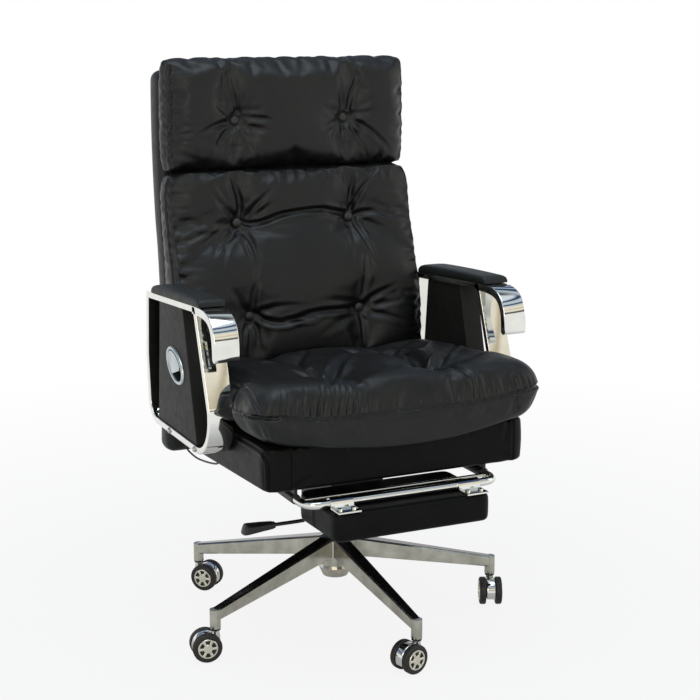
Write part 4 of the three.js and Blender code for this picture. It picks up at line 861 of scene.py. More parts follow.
def add_back():
    mx, mz, _ = BUTTONS["mid"]
    lx, lz, _ = BUTTONS["low"]
    hx, hz, _ = BUTTONS["head"]
    mid_sag, low_sag, head_sag = sag("mid"), sag("low"), sag("head")

    def back_depth(x, z):
        total = -16 * (x / BACK_HALF) ** 4
        for s in (-1, 1):
            total = total - tuft_pit(x, z, s * mx, mz, mid_sag) - tuft_pit(x, z, s * lx, lz, low_sag)
            total = total - fold(x, z, (s * mx, mz), (s * mx * 0.95, BACK_HIGH), 5, 14)
            total = total - fold(x, z, (s * lx, lz), (s * lx * 1.1, BACK_LOW), 5, 14)
            total = total - fold(x, z, (s * mx, mz), (s * BACK_HALF, (mz + lz) / 2), 4, 18)
        return total - fold(x, z, (-mx, mz), (mx, mz + 8), 5, 14) - fold(x, z, (-lx, lz), (lx, lz), 4, 14)

    def head_depth(x, z):
        total = -10 * (x / HEAD_HALF) ** 4
        for s in (-1, 1):
            total = total - tuft_pit(x, z, s * hx, hz, head_sag)
            total = total - fold(x, z, (s * hx, hz), (s * hx * 1.1, HEAD_HIGH), 4, 14)
        return total

    back_form("back_cushion_soft", "back_cushion", BACK_HALF, BACK_LOW, BACK_HIGH, 34, 0.86, back_depth,
              BACK_CREASES, tufts_of("mid", "low"), 5)
    back_form("head_cushion_soft", "head_cushion", HEAD_HALF, HEAD_LOW, HEAD_HIGH, 15, 0.66, head_depth,
              HEAD_CREASES, tufts_of("head"), 9)

    def crown(x, z):
        up = (z - (SHELL_HIGH + SHELL_LOW) / 2) / ((SHELL_HIGH - SHELL_LOW) / 2)
        return 6 * (1 - (x / SHELL_HALF) ** 2) * (1 - up * up)

    shell, _ = stuffed(
        "back_shell_soft", SHELL_HALF, SHELL_LOW, SHELL_HIGH, 22, 22, (24, 60), 6, power=2.2,
        top=lambda x, z: shell_rear(z) + crown(x, z), seam=lambda x, z: shell_rear(z) - 18,
        welt=lambda x, z: shell_rear(z) - 42, bottom=lambda x, z: shell_front(z),
        place=lambda x, z, y: (x, y, z + RECLINE_Z), wall=5, bulge=1.2, surface=gusset_leather,
    )
    subdivide(shell, 1)
    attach(shell, "back")
    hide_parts("back_shell")

    # The buttons take the lighter copy of the leather, which is painted sheen
    for name, (x, rise, y) in BUTTONS.items():
        for side, s in SIDES:
            place = Matrix.Translation((s * x, y, rise + RECLINE_Z)) @ Matrix.Rotation(math.pi / 2, 4, "X")
            button = lathe(f"{name}_button_{side}_soft", BUTTON_PROFILE, painted_sheen_button_leather, 32, place)
            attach(button, "back")
            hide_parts(f"{name}_button_{side}")


add_back()


# Seat: the upholstered base and the cushion on it
def under_base(y):
    return BASE_UNDER - SEAT_SLOPE * np.asarray(y, float)


def top_of_base(y):
    return under_base(y) + BASE_DEPTH


CUSHION_FRONT = -348
CUSHION_HALF = 302
CUSHION_WAIST = ARM_INNER - 3
CUSHION_CROWN = 116
CUSHION_SEAM = 62
FRONT_SEAM = 38
CUSHION_WELT = 50
CUSHION_LIP = 32
# The cushion widens ahead of the arms, from this place on and over this length
CUSHION_NECK = -174
NECK_LENGTH = 44
TUFTS = [(s * 108, y) for y in (-208, -12) for s in (-1, 1)]
CUSHION_REAR = min(float(shell_front(120 + r) - along(CUSHION_DEPTH, 120 + r)) for r in (0, 30, 60, 90)) - 4

SEAT_TOP_CREASES = [
    (9, 10, 0, [(-108, -12), (-112, -70), (-124, -120), (-110, -206)]),
    (9, 9, 0, [(-104, -204), (-72, -165), (7, -70), (80, -10), (104, -10)]),
    (9, 8, 1, [(-110, -212), (-134, -280), (-156, -335)]),
    (9, 10, 0, [(110, -14), (125, -87), (108, -204)]),
    (7, 9, 1, [(112, -10), (140, 10), (186, 46)]),
    (10, 9, 1, [(110, -208), (152, -183), (227, -105), (262, -56)]),
    (8, 7, 1, [(110, -212), (118, -270), (130, -322), (146, -346)]),
    (7, 9, 1, [(-110, -210), (-170, -246), (-236, -262)]),
    (6, 9, 1, [(-112, -10), (-160, 20), (-226, 40)]),
    (5, 9, 1, [(104, -12), (60, 40), (30, 76)]),
    (5, 9, 1, [(-104, -12), (-60, 40), (-20, 76)]),
    (4, 10, 1, [(104, -210), (40, -244), (-10, -268)]),
    (3, 5, 1, [(114, -196), (170, -160), (236, -150)]),
    (3, 5, 1, [(100, -196), (70, -150), (56, -110)]),
    (3, 5, 1, [(-120, -200), (-160, -170), (-190, -130)]),
]
FRONT_SEAM_LINE = [
    (-302, -254, 524), (-296, -300, 532), (-281, -332, 536), (-233, -347, 533), (-190, -348, 526),
    (-114, -347, 523), (-39, -346, 525), (53, -346, 525), (139, -347, 524), (232, -346, 533),
    (281, -332, 538), (296, -300, 532), (302, -254, 524),
]
SIDE_SEAM_LINE = [(-271, -107, 552), (-278, -170, 562), (-282, -234, 569), (-286, -290, 560),
                  (-286, -325, 542)]
# Creases that rise from the front seam: x at the seam, x and height at the tip, depth
FRONT_PUCKERS = [
    (-276, -268, 566, 3), (-270, -258, 580, 4), (-262, -246, 584, 5), (-252, -238, 578, 4),
    (-241, -228, 574, 3), (-226, -214, 570, 2.5), (-217, -203, 584, 4), (-200, -190, 566, 2.5),
    (-187, -168, 588, 5), (-177, -160, 584, 5), (-168, -152, 572, 3), (-160, -138, 586, 4),
    (-146, -128, 590, 4.5), (-137, -124, 572, 3), (-129, -116, 584, 4.5), (-117, -104, 576, 4),
    (-104, -94, 562, 2.5), (-88, -78, 566, 2.5), (-66, -60, 556, 1.6), (-30, -26, 552, 1.4),
    (20, 24, 554, 1.4), (60, 66, 562, 1.8), (92, 96, 560, 1.8), (118, 122, 570, 2.4), (138, 140, 584, 3.2),
    (152, 149, 582, 3.5), (170, 164, 566, 2.4), (190, 182, 578, 2.8), (208, 200, 566, 2.4),
    (248, 240, 572, 2.6), (262, 254, 566, 2.4), (274, 268, 562, 2.4),
]


BASE_CREASES = [
    (2.2, 5, 1, [(-216, 468), (-206, 440), (-196, 412)]),
    (1.8, 6, 1, [(-190, 470), (-184, 446), (-176, 424)]),
    (1.6, 7, 1, [(-130, 470), (-126, 440)]),
    (1.2, 8, 1, [(-40, 470), (-38, 436)]),
    (1.4, 8, 1, [(60, 470), (64, 430)]),
    (1.6, 6, 1, [(150, 470), (146, 440)]),
    (2, 6, 1, [(236, 468), (230, 440), (220, 416)]),
    (1.8, 6, 1, [(-220, 388), (-200, 402), (-170, 408)]),
    (1.6, 7, 1, [(240, 390), (210, 404), (180, 410)]),
]


def add_seat_cushion():
    """The cushion, which laps over the base's front. The leather above its front seam is gathered."""
    pinned_rise, pinned_radius = 20, 12

    def overlap(y, span):
        return smoothstep((BASE_FRONT - 4 - y) / span)

    def bow(x):
        return 1 - (x / CUSHION_HALF) ** 2

    def hung(x, y, height, drop, span):
        return top_of_base(y) + height - drop * overlap(y, span) * bow(x)

    def top(x, y):
        back = (y - TUFTS[0][1]) / (CUSHION_REAR - TUFTS[0][1])
        height = CUSHION_CROWN - 4 * (1 - bow(x)) - 14 * back**2
        for cx, cy in TUFTS:
            height = height - tuft_pit(x, y, cx, cy, 24)
        for a, b in ((0, 1), (2, 3), (0, 2), (1, 3)):
            height = height - fold(x, y, TUFTS[a], TUFTS[b], 7, 30)
        return top_of_base(y) + 0.3 + height

    def scale(y):
        past = (CUSHION_NECK - y) / NECK_LENGTH
        return (CUSHION_WAIST + (CUSHION_HALF - CUSHION_WAIST) * smoothstep(past)) / CUSHION_HALF

    cushion, ring = stuffed(
        "seat_cushion_soft", CUSHION_HALF, CUSHION_FRONT, CUSHION_REAR, 62, 62, (52, 44), 8,
        top=top,
        seam=lambda x, y: hung(x, y, CUSHION_SEAM, CUSHION_SEAM - FRONT_SEAM, 30),
        welt=lambda x, y: hung(x, y, CUSHION_WELT, CUSHION_WELT + CUSHION_LIP * 0.5, 30),
        bottom=lambda x, y: hung(x, y, 0.3, CUSHION_LIP, 10),
        place=lambda x, y, z: (x * scale(y), y, z), wall=5, bulge=2.0, surface=black_leather,
    )
    points = read_points(cushion)
    pinned = points[:, 2] < top_of_base(points[:, 1]) + pinned_rise
    pinned[ring] = True
    for cx, cy in TUFTS:
        pinned |= np.hypot(points[:, 0] - cx, points[:, 1] - cy) < pinned_radius
    relax_as_cloth(cushion, pinned, 1.2, 6)
    subdivide(cushion, 2)
    points, normals = read_points(cushion), read_normals(cushion)
    upward = np.clip(normals[:, 2] * 1.8, 0, 1)
    field = crease_field(plane_of(points, 0, 1), SEAT_TOP_CREASES) * upward
    forward = np.clip((-250 - points[:, 1]) / 30, 0, 1)
    seam_x, _, seam_z = np.array(FRONT_SEAM_LINE).T
    rows = []
    for x, tip_x, tip_z, depth in FRONT_PUCKERS:
        z = float(np.interp(x, seam_x, seam_z)) + 2
        rows.append((depth, 3.4, 1, [(x, z), (x + (tip_x - x) * 0.4, z + (tip_z - z) * 0.5), (tip_x, tip_z)]))
    above = smoothstep((points[:, 2] - np.interp(points[:, 0], seam_x, seam_z)) / 5)
    field += crease_field(plane_of(points, 0, 2), rows) * forward * above
    write_points(cushion, points + normals * field[:, None])
    press_seams(cushion, [(3.2, 3, FRONT_SEAM_LINE), (2.4, 3, SIDE_SEAM_LINE),
                          (2.6, 2.6, [(233, -345, 500), (235, -346, 528), (229, -343, 560)])])
    for name, line, drop in (("front", FRONT_SEAM_LINE, 5), ("side_upper", SIDE_SEAM_LINE, -5),
                             ("side_lower", SIDE_SEAM_LINE, 6)):
        row = on_surface(cushion, [(x, y, z - drop) for x, y, z in line], 0.1)
        stitches(f"seat_stitches_{name}", row, 6.5, 0.7, "seat")
    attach(cushion, "seat")
    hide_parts("seat_cushion")


def add_seat_base():
    """The upholstered box under the cushion, with a pocket for the mechanism and two bores for the cable."""

    def bulge_front(x):
        return 1 - (x / BASE_HALF) ** 2

    # The seat base takes the darker copy of the leather, which is painted shade
    base, _ = stuffed(
        "seat_base_soft", BASE_HALF, BASE_FRONT, BASE_REAR, 28, 28, (44, 44), 7, power=2.4,
        top=lambda x, y: top_of_base(y), seam=lambda x, y: top_of_base(y) - 14,
        welt=lambda x, y: under_base(y) + 10, bottom=lambda x, y: under_base(y),
        place=lambda x, y, z: (x, np.where(y < BASE_FRONT + 28, y - 3 * bulge_front(x), y), z),
        wall=12, bulge=1.5, surface=painted_shade_leather,
    )
    subdivide(base, 2)
    half, near = BASE_HALF, BASE_FRONT
    low, high = float(under_base(near)), float(top_of_base(near))
    piping = [(-half, 190, high - 26), (-half, 0, high - 22), (-half, near + 44, high - 14),
              (-half, near + 18, high - 20), (-half + 4, near + 7, high - 34),
              (-half + 5, near + 5, high - 60), (-half + 6, near + 6, low + 8)]
    upright = [[(x, near, high - 8), (x, near - 3, (low + high) / 2), (x, near, low + 6)]
               for x in (-226, 246)]
    press_seams(base, [(2.8, 2.6, piping), *[(2.2, 2.4, line) for line in upright]])
    points, normals = read_points(base), read_normals(base)
    front = points[:, 1] < BASE_FRONT + 24
    field = crease_field(plane_of(points, 0, 2), BASE_CREASES) * front * np.clip(-normals[:, 1] * 2, 0, 1)
    write_points(base, points + normals * field[:, None])
    front, rear, side, roof = -155, 135, 155, BASE_UNDER + 20
    pocket = slab("pocket", [(front, 250), (rear, 250), (rear, roof), (front, roof)], -side, side, 0, None)
    glands = [
        sweep(f"gland_{k}", [(GLAND_X, y, under_base(y) - 14), (GLAND_X, y, under_base(y) + 14)],
              CABLE_RADIUS + 0.5, None, 12)
        for k, y in enumerate(GLAND_YS)
    ]
    cut_with(base, pocket, *glands)
    shade(base, 50)
    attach(base, "seat")
    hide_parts("seat_base")


add_seat_cushion()
add_seat_base()


# Arms: loop, band, panel and pad, with heights above the arm's foot
LOOP = [(212, 275, 5), (225, 138, 60), (215, 0, 50), (-169, 0, 82), (-168, 98, 55), (-97, 293, 5)]
TOP_SLOPE = (LOOP[-1][1] - LOOP[0][1]) / (LOOP[-1][0] - LOOP[0][0])
ARM_MIDDLE = (ARM_INNER + ARM_OUTER) / 2
BAND_THICKNESS = 17
PANEL_HALF = 21
PAD_REAR, PAD_FRONT, PAD_HALF, PAD_THICKNESS = 170, -127, 28.0, 19
# The pad's thickness along its length, as (share of the length, share of the thickness)
PAD_PROFILE = [(0, 0.35), (0.006, 0.6), (0.02, 0.78), (0.05, 0.9), (0.12, 0.98), (0.25, 1), (0.4, 0.99),
               (0.55, 0.96), (0.7, 0.91), (0.85, 0.84), (0.95, 0.78), (0.985, 0.68), (1, 0.4)]
BEZEL_Y, BEZEL_RISE, BEZEL_LONG, BEZEL_SHORT, BEZEL_LEAN = 39, 150, 52, 33, math.radians(22)
BEZEL_FACE = 330.3
PIN_X, PIN_Y, PIN_RADIUS = -331.8, 61, 2.4


def arm_top(y):
    return LOOP[0][1] + TOP_SLOPE * (y - LOOP[0][0])


def arm_under_top(y):
    return arm_top(y) - ARM_BAR * math.hypot(1, TOP_SLOPE)


def band_outline():
    """The band that leaves the arm's top and curls down over its front."""
    steps, half = 28, BAND_THICKNESS / 2
    p0 = np.array((-80, arm_top(-80) - half))
    p3 = np.array((-199.0, 210.0))
    p1 = p0 + (-85, -85 * TOP_SLOPE)
    p2 = p3 + (0, 75)
    left, right = [], []
    for k in range(steps + 1):
        t = k / steps
        p = (1 - t) ** 3 * p0 + 3 * (1 - t) ** 2 * t * p1 + 3 * (1 - t) * t**2 * p2 + t**3 * p3
        d = 3 * (1 - t) ** 2 * (p1 - p0) + 6 * (1 - t) * t * (p2 - p1) + 3 * t**2 * (p3 - p2)
        d /= np.linalg.norm(d)
        n = np.array((-d[1], d[0])) * half
        left.append(p + n)
        right.append(p - n)
    nose = [p3 + half * np.array((math.cos(a), math.sin(a))) for a in np.radians(np.linspace(-25, -155, 9))]
    return left + nose + right[::-1]


def add_arm_frame(name, s):
    """The closed loop of flat bar with the band on it."""
    outer = rounded(LOOP, 12)
    sharp = inset([c[:2] for c in LOOP], ARM_BAR)
    inner = rounded([(*p, max(c[2] - ARM_BAR, 0.4)) for p, c in zip(sharp, LOOP)], 12)
    outer, inner = np.array(outer), np.array(inner)
    x0, x1 = sorted((s * ARM_INNER, s * ARM_OUTER))
    edge = 1.6
    corner = [(math.cos(a), math.sin(a)) for a in np.radians([0, 30, 60, 90])]
    rings = []
    for o, i in zip(outer, inner):
        d = (i - o) / np.linalg.norm(i - o)
        thick = np.linalg.norm(i - o)
        ring = []
        for cx, ct, sx, st in ((x1, 0, 1, -1), (x1, thick, 1, 1), (x0, thick, -1, 1), (x0, 0, -1, -1)):
            turns = corner if sx * st > 0 else corner[::-1]
            for c, q in turns:
                x = cx - sx * edge + sx * edge * c
                t = ct - st * edge + st * edge * q
                ring.append((x, *(o + d * t)))
        rings.append(ring)
    loop = loft(f"loop_{name}", [np.array(q) for q in rings], chrome, closed=True, sharp=60)
    band = slab(f"band_{name}", band_outline(), x0, x1, 2.2, chrome)
    frame_piece = joined(f"arm_frame_{name}_chrome", loop, band)
    frame_piece.data.transform(Matrix.Translation((0, 0, ARM_FOOT * MM)))
    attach(frame_piece, "seat")
    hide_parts(f"arm_frame_{name}")


def add_arm_panel(name, s):
    """The padded panel inside the loop. The right one has a pit for the pull plate's bezel."""
    foot = ARM_BAR + 0.3
    outline = rounded([(134, arm_under_top(134) - 0.3, 2), (163, foot, 2), (-80, foot, 2),
                       (-12, arm_under_top(-12) - 0.3, 2)], 3)
    outline = [(y, z + ARM_FOOT) for y, z in outline]
    x0, x1 = sorted((s * (ARM_MIDDLE - PANEL_HALF), s * (ARM_MIDDLE + PANEL_HALF)))
    panel = slab(f"arm_panel_{name}_soft", outline, x0, x1, 8.5, arm_leather, 6)
    if s < 0:
        pit = slab("pit", bezel_oval(3.7), -(ARM_MIDDLE + 30), -(ARM_MIDDLE + PANEL_HALF - 20.3), 0, None)
        cut_with(panel, pit)
        shade(panel, 50)
    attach(panel, "seat")
    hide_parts(f"arm_panel_{name}")


def add_arm_pad(name, s):
    foot, middle, pad_rings = 1.2, s * ARM_MIDDLE, []
    for t, share in PAD_PROFILE:
        y = PAD_REAR + (PAD_FRONT - PAD_REAR) * t
        low, rise = arm_top(y) + 0.3 + ARM_FOOT, PAD_THICKNESS * share
        half = PAD_HALF - 1.5 * (1 - min(1, share / 0.8))
        ring = []
        for a in np.linspace(0, math.pi, 22):
            x = middle + half * math.copysign(abs(math.cos(a)) ** 0.3, math.cos(a))
            ring.append((x, y, low + foot + (rise - foot) * abs(math.sin(a)) ** 0.42))
        ring += [(middle - half + 1.0, y, low), (middle + half - 1.0, y, low)]
        pad_rings.append(np.array(ring))
    pad = loft(f"arm_pad_{name}_soft", pad_rings, pad_leather, sharp=55)
    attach(pad, "seat")
    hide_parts(f"arm_pad_{name}")


def bezel_oval(margin, count=40):
    """The leaning oval of the bezel, drawn in by a margin, in y and height over the floor."""
    c, n, made = math.cos(BEZEL_LEAN), math.sin(BEZEL_LEAN), []
    for k in range(count):
        turn = 2 * math.pi * k / count
        p, q = (BEZEL_LONG - margin) * math.cos(turn), (BEZEL_SHORT - margin) * math.sin(turn)
        made.append((BEZEL_Y + p * c - q * n, ARM_FOOT + BEZEL_RISE + p * n + q * c))
    return made


def add_handle():
    """The pull plate on its pin in the bezel's recess, with a bright face and dark edges."""
    face, gap = BEZEL_FACE + 4, 9.5
    front = BEZEL_Y - BEZEL_LONG + gap + 9
    lower = ARM_FOOT + BEZEL_RISE - BEZEL_SHORT + gap + 4.5
    outline = [(max(y, front), z) for y, z in bezel_oval(gap) if z > lower - (y - BEZEL_Y) * 0.3]
    bright = [(BEZEL_Y + (y - BEZEL_Y) * 0.93 + 0.8, z) for y, z in outline]
    plate = slab("plate", outline, -(face - 1), -(face - 5), 0.8, black_plastic, 3)
    cover = slab("cover", bright, -(face - 0.6), -(face - 1.4), 0.3, satin_metal, 2)
    ends = [(PIN_X, PIN_Y, ARM_FOOT + rise) for rise in (152, 172)]
    pin = sweep("pin", ends, PIN_RADIUS, zinc_metal, 16)
    handle = joined("recline_handle_plate", plate, cover, pin)
    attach(handle, "recline_handle")
    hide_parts("recline_handle")


def add_bezel():
    """The bezel's ring, as steps inwards and rises over its face, and the floor of its recess."""
    floor_face, floor_back = 313, 310
    rim = [(0, 0), (0.6, 2.4), (2.2, 4), (5.4, 4), (7.4, 2.8), (8, 0.5), (8, -17), (8, -17), (0, 0)]
    ovals = [[(-(BEZEL_FACE + rise), y, z) for y, z in bezel_oval(step, 64)] for step, rise in rim]
    rings = [np.array(ring) for ring in zip(*ovals)]
    bezel = loft("bezel_ring", rings, satin_metal, closed=True, sharp=50)
    well = slab("well", bezel_oval(7), -floor_face, -floor_back, 0, black_plastic)
    shell = joined("handle_bezel_oval", bezel, well)
    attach(shell, "seat")
    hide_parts("handle_bezel")


for name, s in SIDES:
    add_arm_frame(name, s)
    add_arm_panel(name, s)
    add_arm_pad(name, s)
add_handle()
add_bezel()


# Footrest: bent tube and padded board
TUBE_SIDE, TUBE_REAR, TUBE_BEND, TUBE_RADIUS = 203, 2, 30, 8
ROD_Y, ROD_RADIUS = -286, 4
BOARD_HALF, BOARD_FRONT, BOARD_REAR, BOARD_THICKNESS = 166, TUBE_FRONT - 49, -190, 58
BOARD_SEAM = (2.4, 2.2, 0, [(-274, 270), (-274, 360)])


def add_footrest():
    corner = rounded([(-TUBE_SIDE, TUBE_REAR, 0), (-TUBE_SIDE, TUBE_FRONT, TUBE_BEND),
                      (TUBE_SIDE, TUBE_FRONT, TUBE_BEND), (TUBE_SIDE, TUBE_REAR, 0)], 16)
    path = [(x, y, TUBE_Z) for x, y in corner]
    bent = sweep("bent", path, TUBE_RADIUS, chrome, 28, (0, 0, 1))
    stops = [(x, ROD_Y, TUBE_Z) for x in (-TUBE_SIDE, -100, 100, TUBE_SIDE)]
    rod = sweep("rod", stops, ROD_RADIUS, chrome, 18)
    tube = joined("footrest_frame_chrome", bent, rod)
    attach(tube, "footrest_frame")
    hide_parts("footrest_frame")
    middle = REST_TOP - BOARD_THICKNESS / 2
    # The footrest pad takes the darker copy of the leather, which is painted shade
    board, _ = stuffed(
        "footrest_pad_soft", BOARD_HALF, BOARD_FRONT, BOARD_REAR, 24, 24, (26, 14), 7, power=4,
        top=lambda x, y: np.full_like(x, REST_TOP),
        seam=lambda x, y: np.full_like(x, middle + 4),
        welt=lambda x, y: np.full_like(x, middle - 4),
        bottom=lambda x, y: REST_TOP - BOARD_THICKNESS - 0.03 * (y - TUBE_FRONT),
        place=lambda x, y, z: (x, y, z), wall=4, surface=painted_shade_leather,
    )
    subdivide(board, 1)
    points, normals = read_points(board), read_normals(board)
    side = np.clip(np.abs(normals[:, 0]) * 2 - 0.8, 0, 1)
    field = crease_field(plane_of(points, 1, 2), [BOARD_SEAM]) * side
    write_points(board, points + normals * field[:, None])
    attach(board, "footrest_pad")
    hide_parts("footrest_pad")


add_footrest()


# Height lever's rod and grip
LEVER_BEND, ROD_END, LEVER_ROD_RADIUS = -87, -61, 3.9
GRIP_START, GRIP_END = -167, -237
# The grip's sections: x, half width, half height, lift and lean
GRIP_SECTIONS = [
    (GRIP_START, 5, 5, 0, 0), (GRIP_START - 1, 6.6, 6.2, 0, 0), (GRIP_START - 8, 9, 7.5, 0, 0),
    (GRIP_START - 18, 10.6, 8.2, 0, 0), (GRIP_START - 30, 12, 9, 0, 0), (GRIP_START - 45, 13.2, 10, -0.5, 0),
    (GRIP_END + 10, 14, 11, -1, 0), (GRIP_END + 5, 13.4, 10.7, -1, 0.25), (GRIP_END + 3, 12, 10, -1, 0.35),
]


def add_lever():
    stops = [(ROD_END, LEVER_BORE_Z), (LEVER_BEND, LEVER_BORE_Z), (LEVER_BEND - 16, LEVER_ROD_Z + 3),
             (LEVER_BEND - 24, LEVER_ROD_Z), (GRIP_START - 18, LEVER_ROD_Z)]
    path = smooth_line([(x, LEVER_Y, z) for x, z in stops], 8)
    path[:, 2] = np.minimum(path[:, 2], LEVER_BORE_Z)
    rod = sweep("lever_rod_steel", path, LEVER_ROD_RADIUS, black_steel, 20, (0, 1, 0))
    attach(rod, "lever")
    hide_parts("lever_rod")
    rings = []
    for x, w, h, lift, lean in GRIP_SECTIONS:
        ring = []
        for a in np.linspace(0, 2 * math.pi, 28, endpoint=False):
            y = w * math.copysign(abs(math.cos(a)) ** 0.6, math.cos(a))
            z = h * math.copysign(abs(math.sin(a)) ** 0.6, math.sin(a))
            ring.append((x + lean * z, LEVER_Y + y, LEVER_ROD_Z + lift + z))
        rings.append(np.array(ring))
    grip = loft("lever_grip_moulded", rings, black_plastic, sharp=50)
    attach(grip, "lever")
    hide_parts("lever_grip")


add_lever()


# Casters
LEG_ANGLES = [math.radians(3.5 + 72 * i) for i in range(5)]
BEARINGS = [math.radians(b) for b in (195, 246, 30, -46, 172)]
CASTER_CIRCLE = 340
CASTER_TRAIL = 20
WHEEL_R, WHEEL_WIDTH, WHEEL_GAP = 29.5, 13, 0.6
SHOULDER = 3.4
HOOD_HALF = 10
RIM_R = 20.5
SPOKES = 6
SPOKE_OUTLINE = [(8.5, -2.2), (17.2, -2.9), (17.2, 2.9), (8.5, 2.2)]
# The stem and its socket ring, as (radius, height)
NECK = [(0, 33), (9.2, 33), (9.4, 46), (8.2, 52), (8, 57), (9.4, 58.4), (10, 59.4), (10, 62.2), (9.4, 62.7),
        (5, 62.7), (5, 90.5), (4.4, 91), (0, 91)]
COLLAR = [(8.2, 58.9), (10.2, 59.1), (10.2, 62.3), (8.2, 62.5)]


def caster_place(i):
    x, y = CASTER_CIRCLE * math.sin(LEG_ANGLES[i]), -CASTER_CIRCLE * math.cos(LEG_ANGLES[i])
    return Matrix.Translation((x, y, 0)) @ Matrix.Rotation(BEARINGS[i] - math.pi / 2, 4, "Z")


def moved(obj, place):
    """A piece built in its own axes, put in its place in the frame."""
    scaled = place.copy()
    scaled.translation = scaled.translation * MM
    obj.data.transform(scaled)
    return obj


def build_wheel(name, side):
    """A tyre with a rim of lip, hub and spokes on its outer face."""
    place = Matrix.Translation((0, CASTER_TRAIL, WHEEL_R)) @ Matrix.Rotation(side * math.pi / 2, 4, "Y")
    near = HOOD_HALF + WHEEL_GAP
    far = near + WHEEL_WIDTH
    shoulder = [(WHEEL_R - SHOULDER * (1 - math.cos(a)), far - SHOULDER * (1 - math.sin(a)))
                for a in np.radians((0, 22, 45, 68, 90))]
    tyre_profile = [(3.6, near), (WHEEL_R - 1.5, near), (WHEEL_R, near + 1.5), *shoulder, (RIM_R + 0.6, far),
                    (RIM_R, far - 1.0), (RIM_R - 0.6, far - 2.5), (0, far - 2.5)]
    lip_profile = [(RIM_R - 0.7, far - 2.6), (RIM_R - 0.3, far + 0.4), (RIM_R - 1.0, far + 1.2),
                   (RIM_R - 3.2, far + 1.2), (RIM_R - 3.8, far + 0.3), (RIM_R - 3.8, far - 2.6)]
    hub_profile = [(9.2, far - 2.6), (9.2, far + 0.4), (8.4, far + 1.2), (4, far + 1.5), (0, far + 1.5)]
    tyre = lathe("tyre", tyre_profile, tyre_rubber, 64, place)
    lip = lathe("lip", lip_profile, rim_metal, 64, place)
    hub = lathe("hub", hub_profile, rim_metal, 40, place)
    spokes = []
    for k in range(SPOKES):
        turn = (2 * k + 1) * math.pi / SPOKES
        c, s = math.cos(turn), math.sin(turn)
        rings = []
        for level, shrink in ((far - 2.6, 1.0), (far + 0.5, 1.0), (far + 1.0, 0.75)):
            ring = [(r * c - w * shrink * s, r * s + w * shrink * c, level) for r, w in SPOKE_OUTLINE]
            rings.append(np.array([place @ Vector(p) for p in ring]))
        spokes.append(loft(f"spoke_{k}", rings, rim_metal, sharp=45))
    return joined(name, tyre, lip, hub, *spokes)


def build_hood(name):
    """The hood between the wheels, with its stem and axle."""
    radius, foot, reach = 28, 15.6, 19.6
    arc = [(CASTER_TRAIL + radius * math.cos(a), WHEEL_R + radius * math.sin(a))
           for a in np.radians(np.linspace(-30, 210, 37))]
    arc = [p for p in arc if p[1] > foot]
    cheek = slab("cheek", arc, -HOOD_HALF, HOOD_HALF, 3.2, chrome, 5)
    neck = lathe("neck", NECK, chrome, 36)
    collar = lathe("collar", COLLAR, black_plastic, 36)
    axle = sweep("axle", [(x, CASTER_TRAIL, WHEEL_R) for x in (-reach, reach)], 3, zinc_metal, 20)
    return joined(name, cheek, neck, collar, axle)


def add_casters():
    for i in range(len(LEG_ANGLES)):
        body = f"caster_{i + 1}"
        hood = moved(build_hood(f"{body}_hood_chrome"), caster_place(i))
        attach(hood, body)
        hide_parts(f"{body}_hood")
        for letter, side in (("a", -1), ("b", 1)):
            wheel = moved(build_wheel(f"{body}_wheel_{letter}_tyred", side), caster_place(i))
            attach(wheel, f"{body}_{letter}")
            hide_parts(f"{body}_wheel_{letter}")


add_casters()


# Frame pieces that keep their shape: a finish, softened edges and smooth curves
def dress(node, finish, bevel, angle=34):
    obj = nodes[node]
    obj.data.materials.clear()
    obj.data.materials.append(finish)
    shade(obj, angle)
    modifier = obj.modifiers.new("Edges", "BEVEL")
    modifier.width = bevel * MM
    modifier.segments = 2
    modifier.limit_method = "ANGLE"
    modifier.angle_limit = math.radians(angle)
    modifier.harden_normals = True


def pairs(*names):
    return [f"{name}_{side}" for name in names for side, _ in SIDES]


# Each finish with the nodes that take it and the softening of their edges
FINISHES = {
    cast_metal: (["base_star"], 1.0),
    gloss_inlay: (["base_inlay"], 0.2),
    black_steel: (["column_tube", "gas_cylinder", "mechanism_housing", "lever_yoke", "seat_plate",
                   *pairs("footrest_rail")], 0.5),
    zinc_metal: (["piston_rod", "tilt_pin", *pairs("arm_mount", "seat_hinge", "back_hinge")], 0.4),
    chrome: (pairs("hinge_strap"), 0.4),
    black_plastic: (["guide_bush", "tension_knob"], 0.5),
}
for finish, (names, bevel) in FINISHES.items():
    for node in names:
        dress(node, finish, bevel)


# Floor, lamps and world
def rays_of(tree, *kinds):
    """1 for rays of these kinds, 0 for the rest."""
    rays = tree.nodes.new("ShaderNodeLightPath")
    found = rays.outputs[f"Is {kinds[0]} Ray"]
    for kind in kinds[1:]:
        both = add_node(tree, "ShaderNodeMath", operation="MAXIMUM")
        tree.links.new(found, both.inputs[0])
        tree.links.new(rays.outputs[f"Is {kind} Ray"], both.inputs[1])
        found = both.outputs[0]
    return found


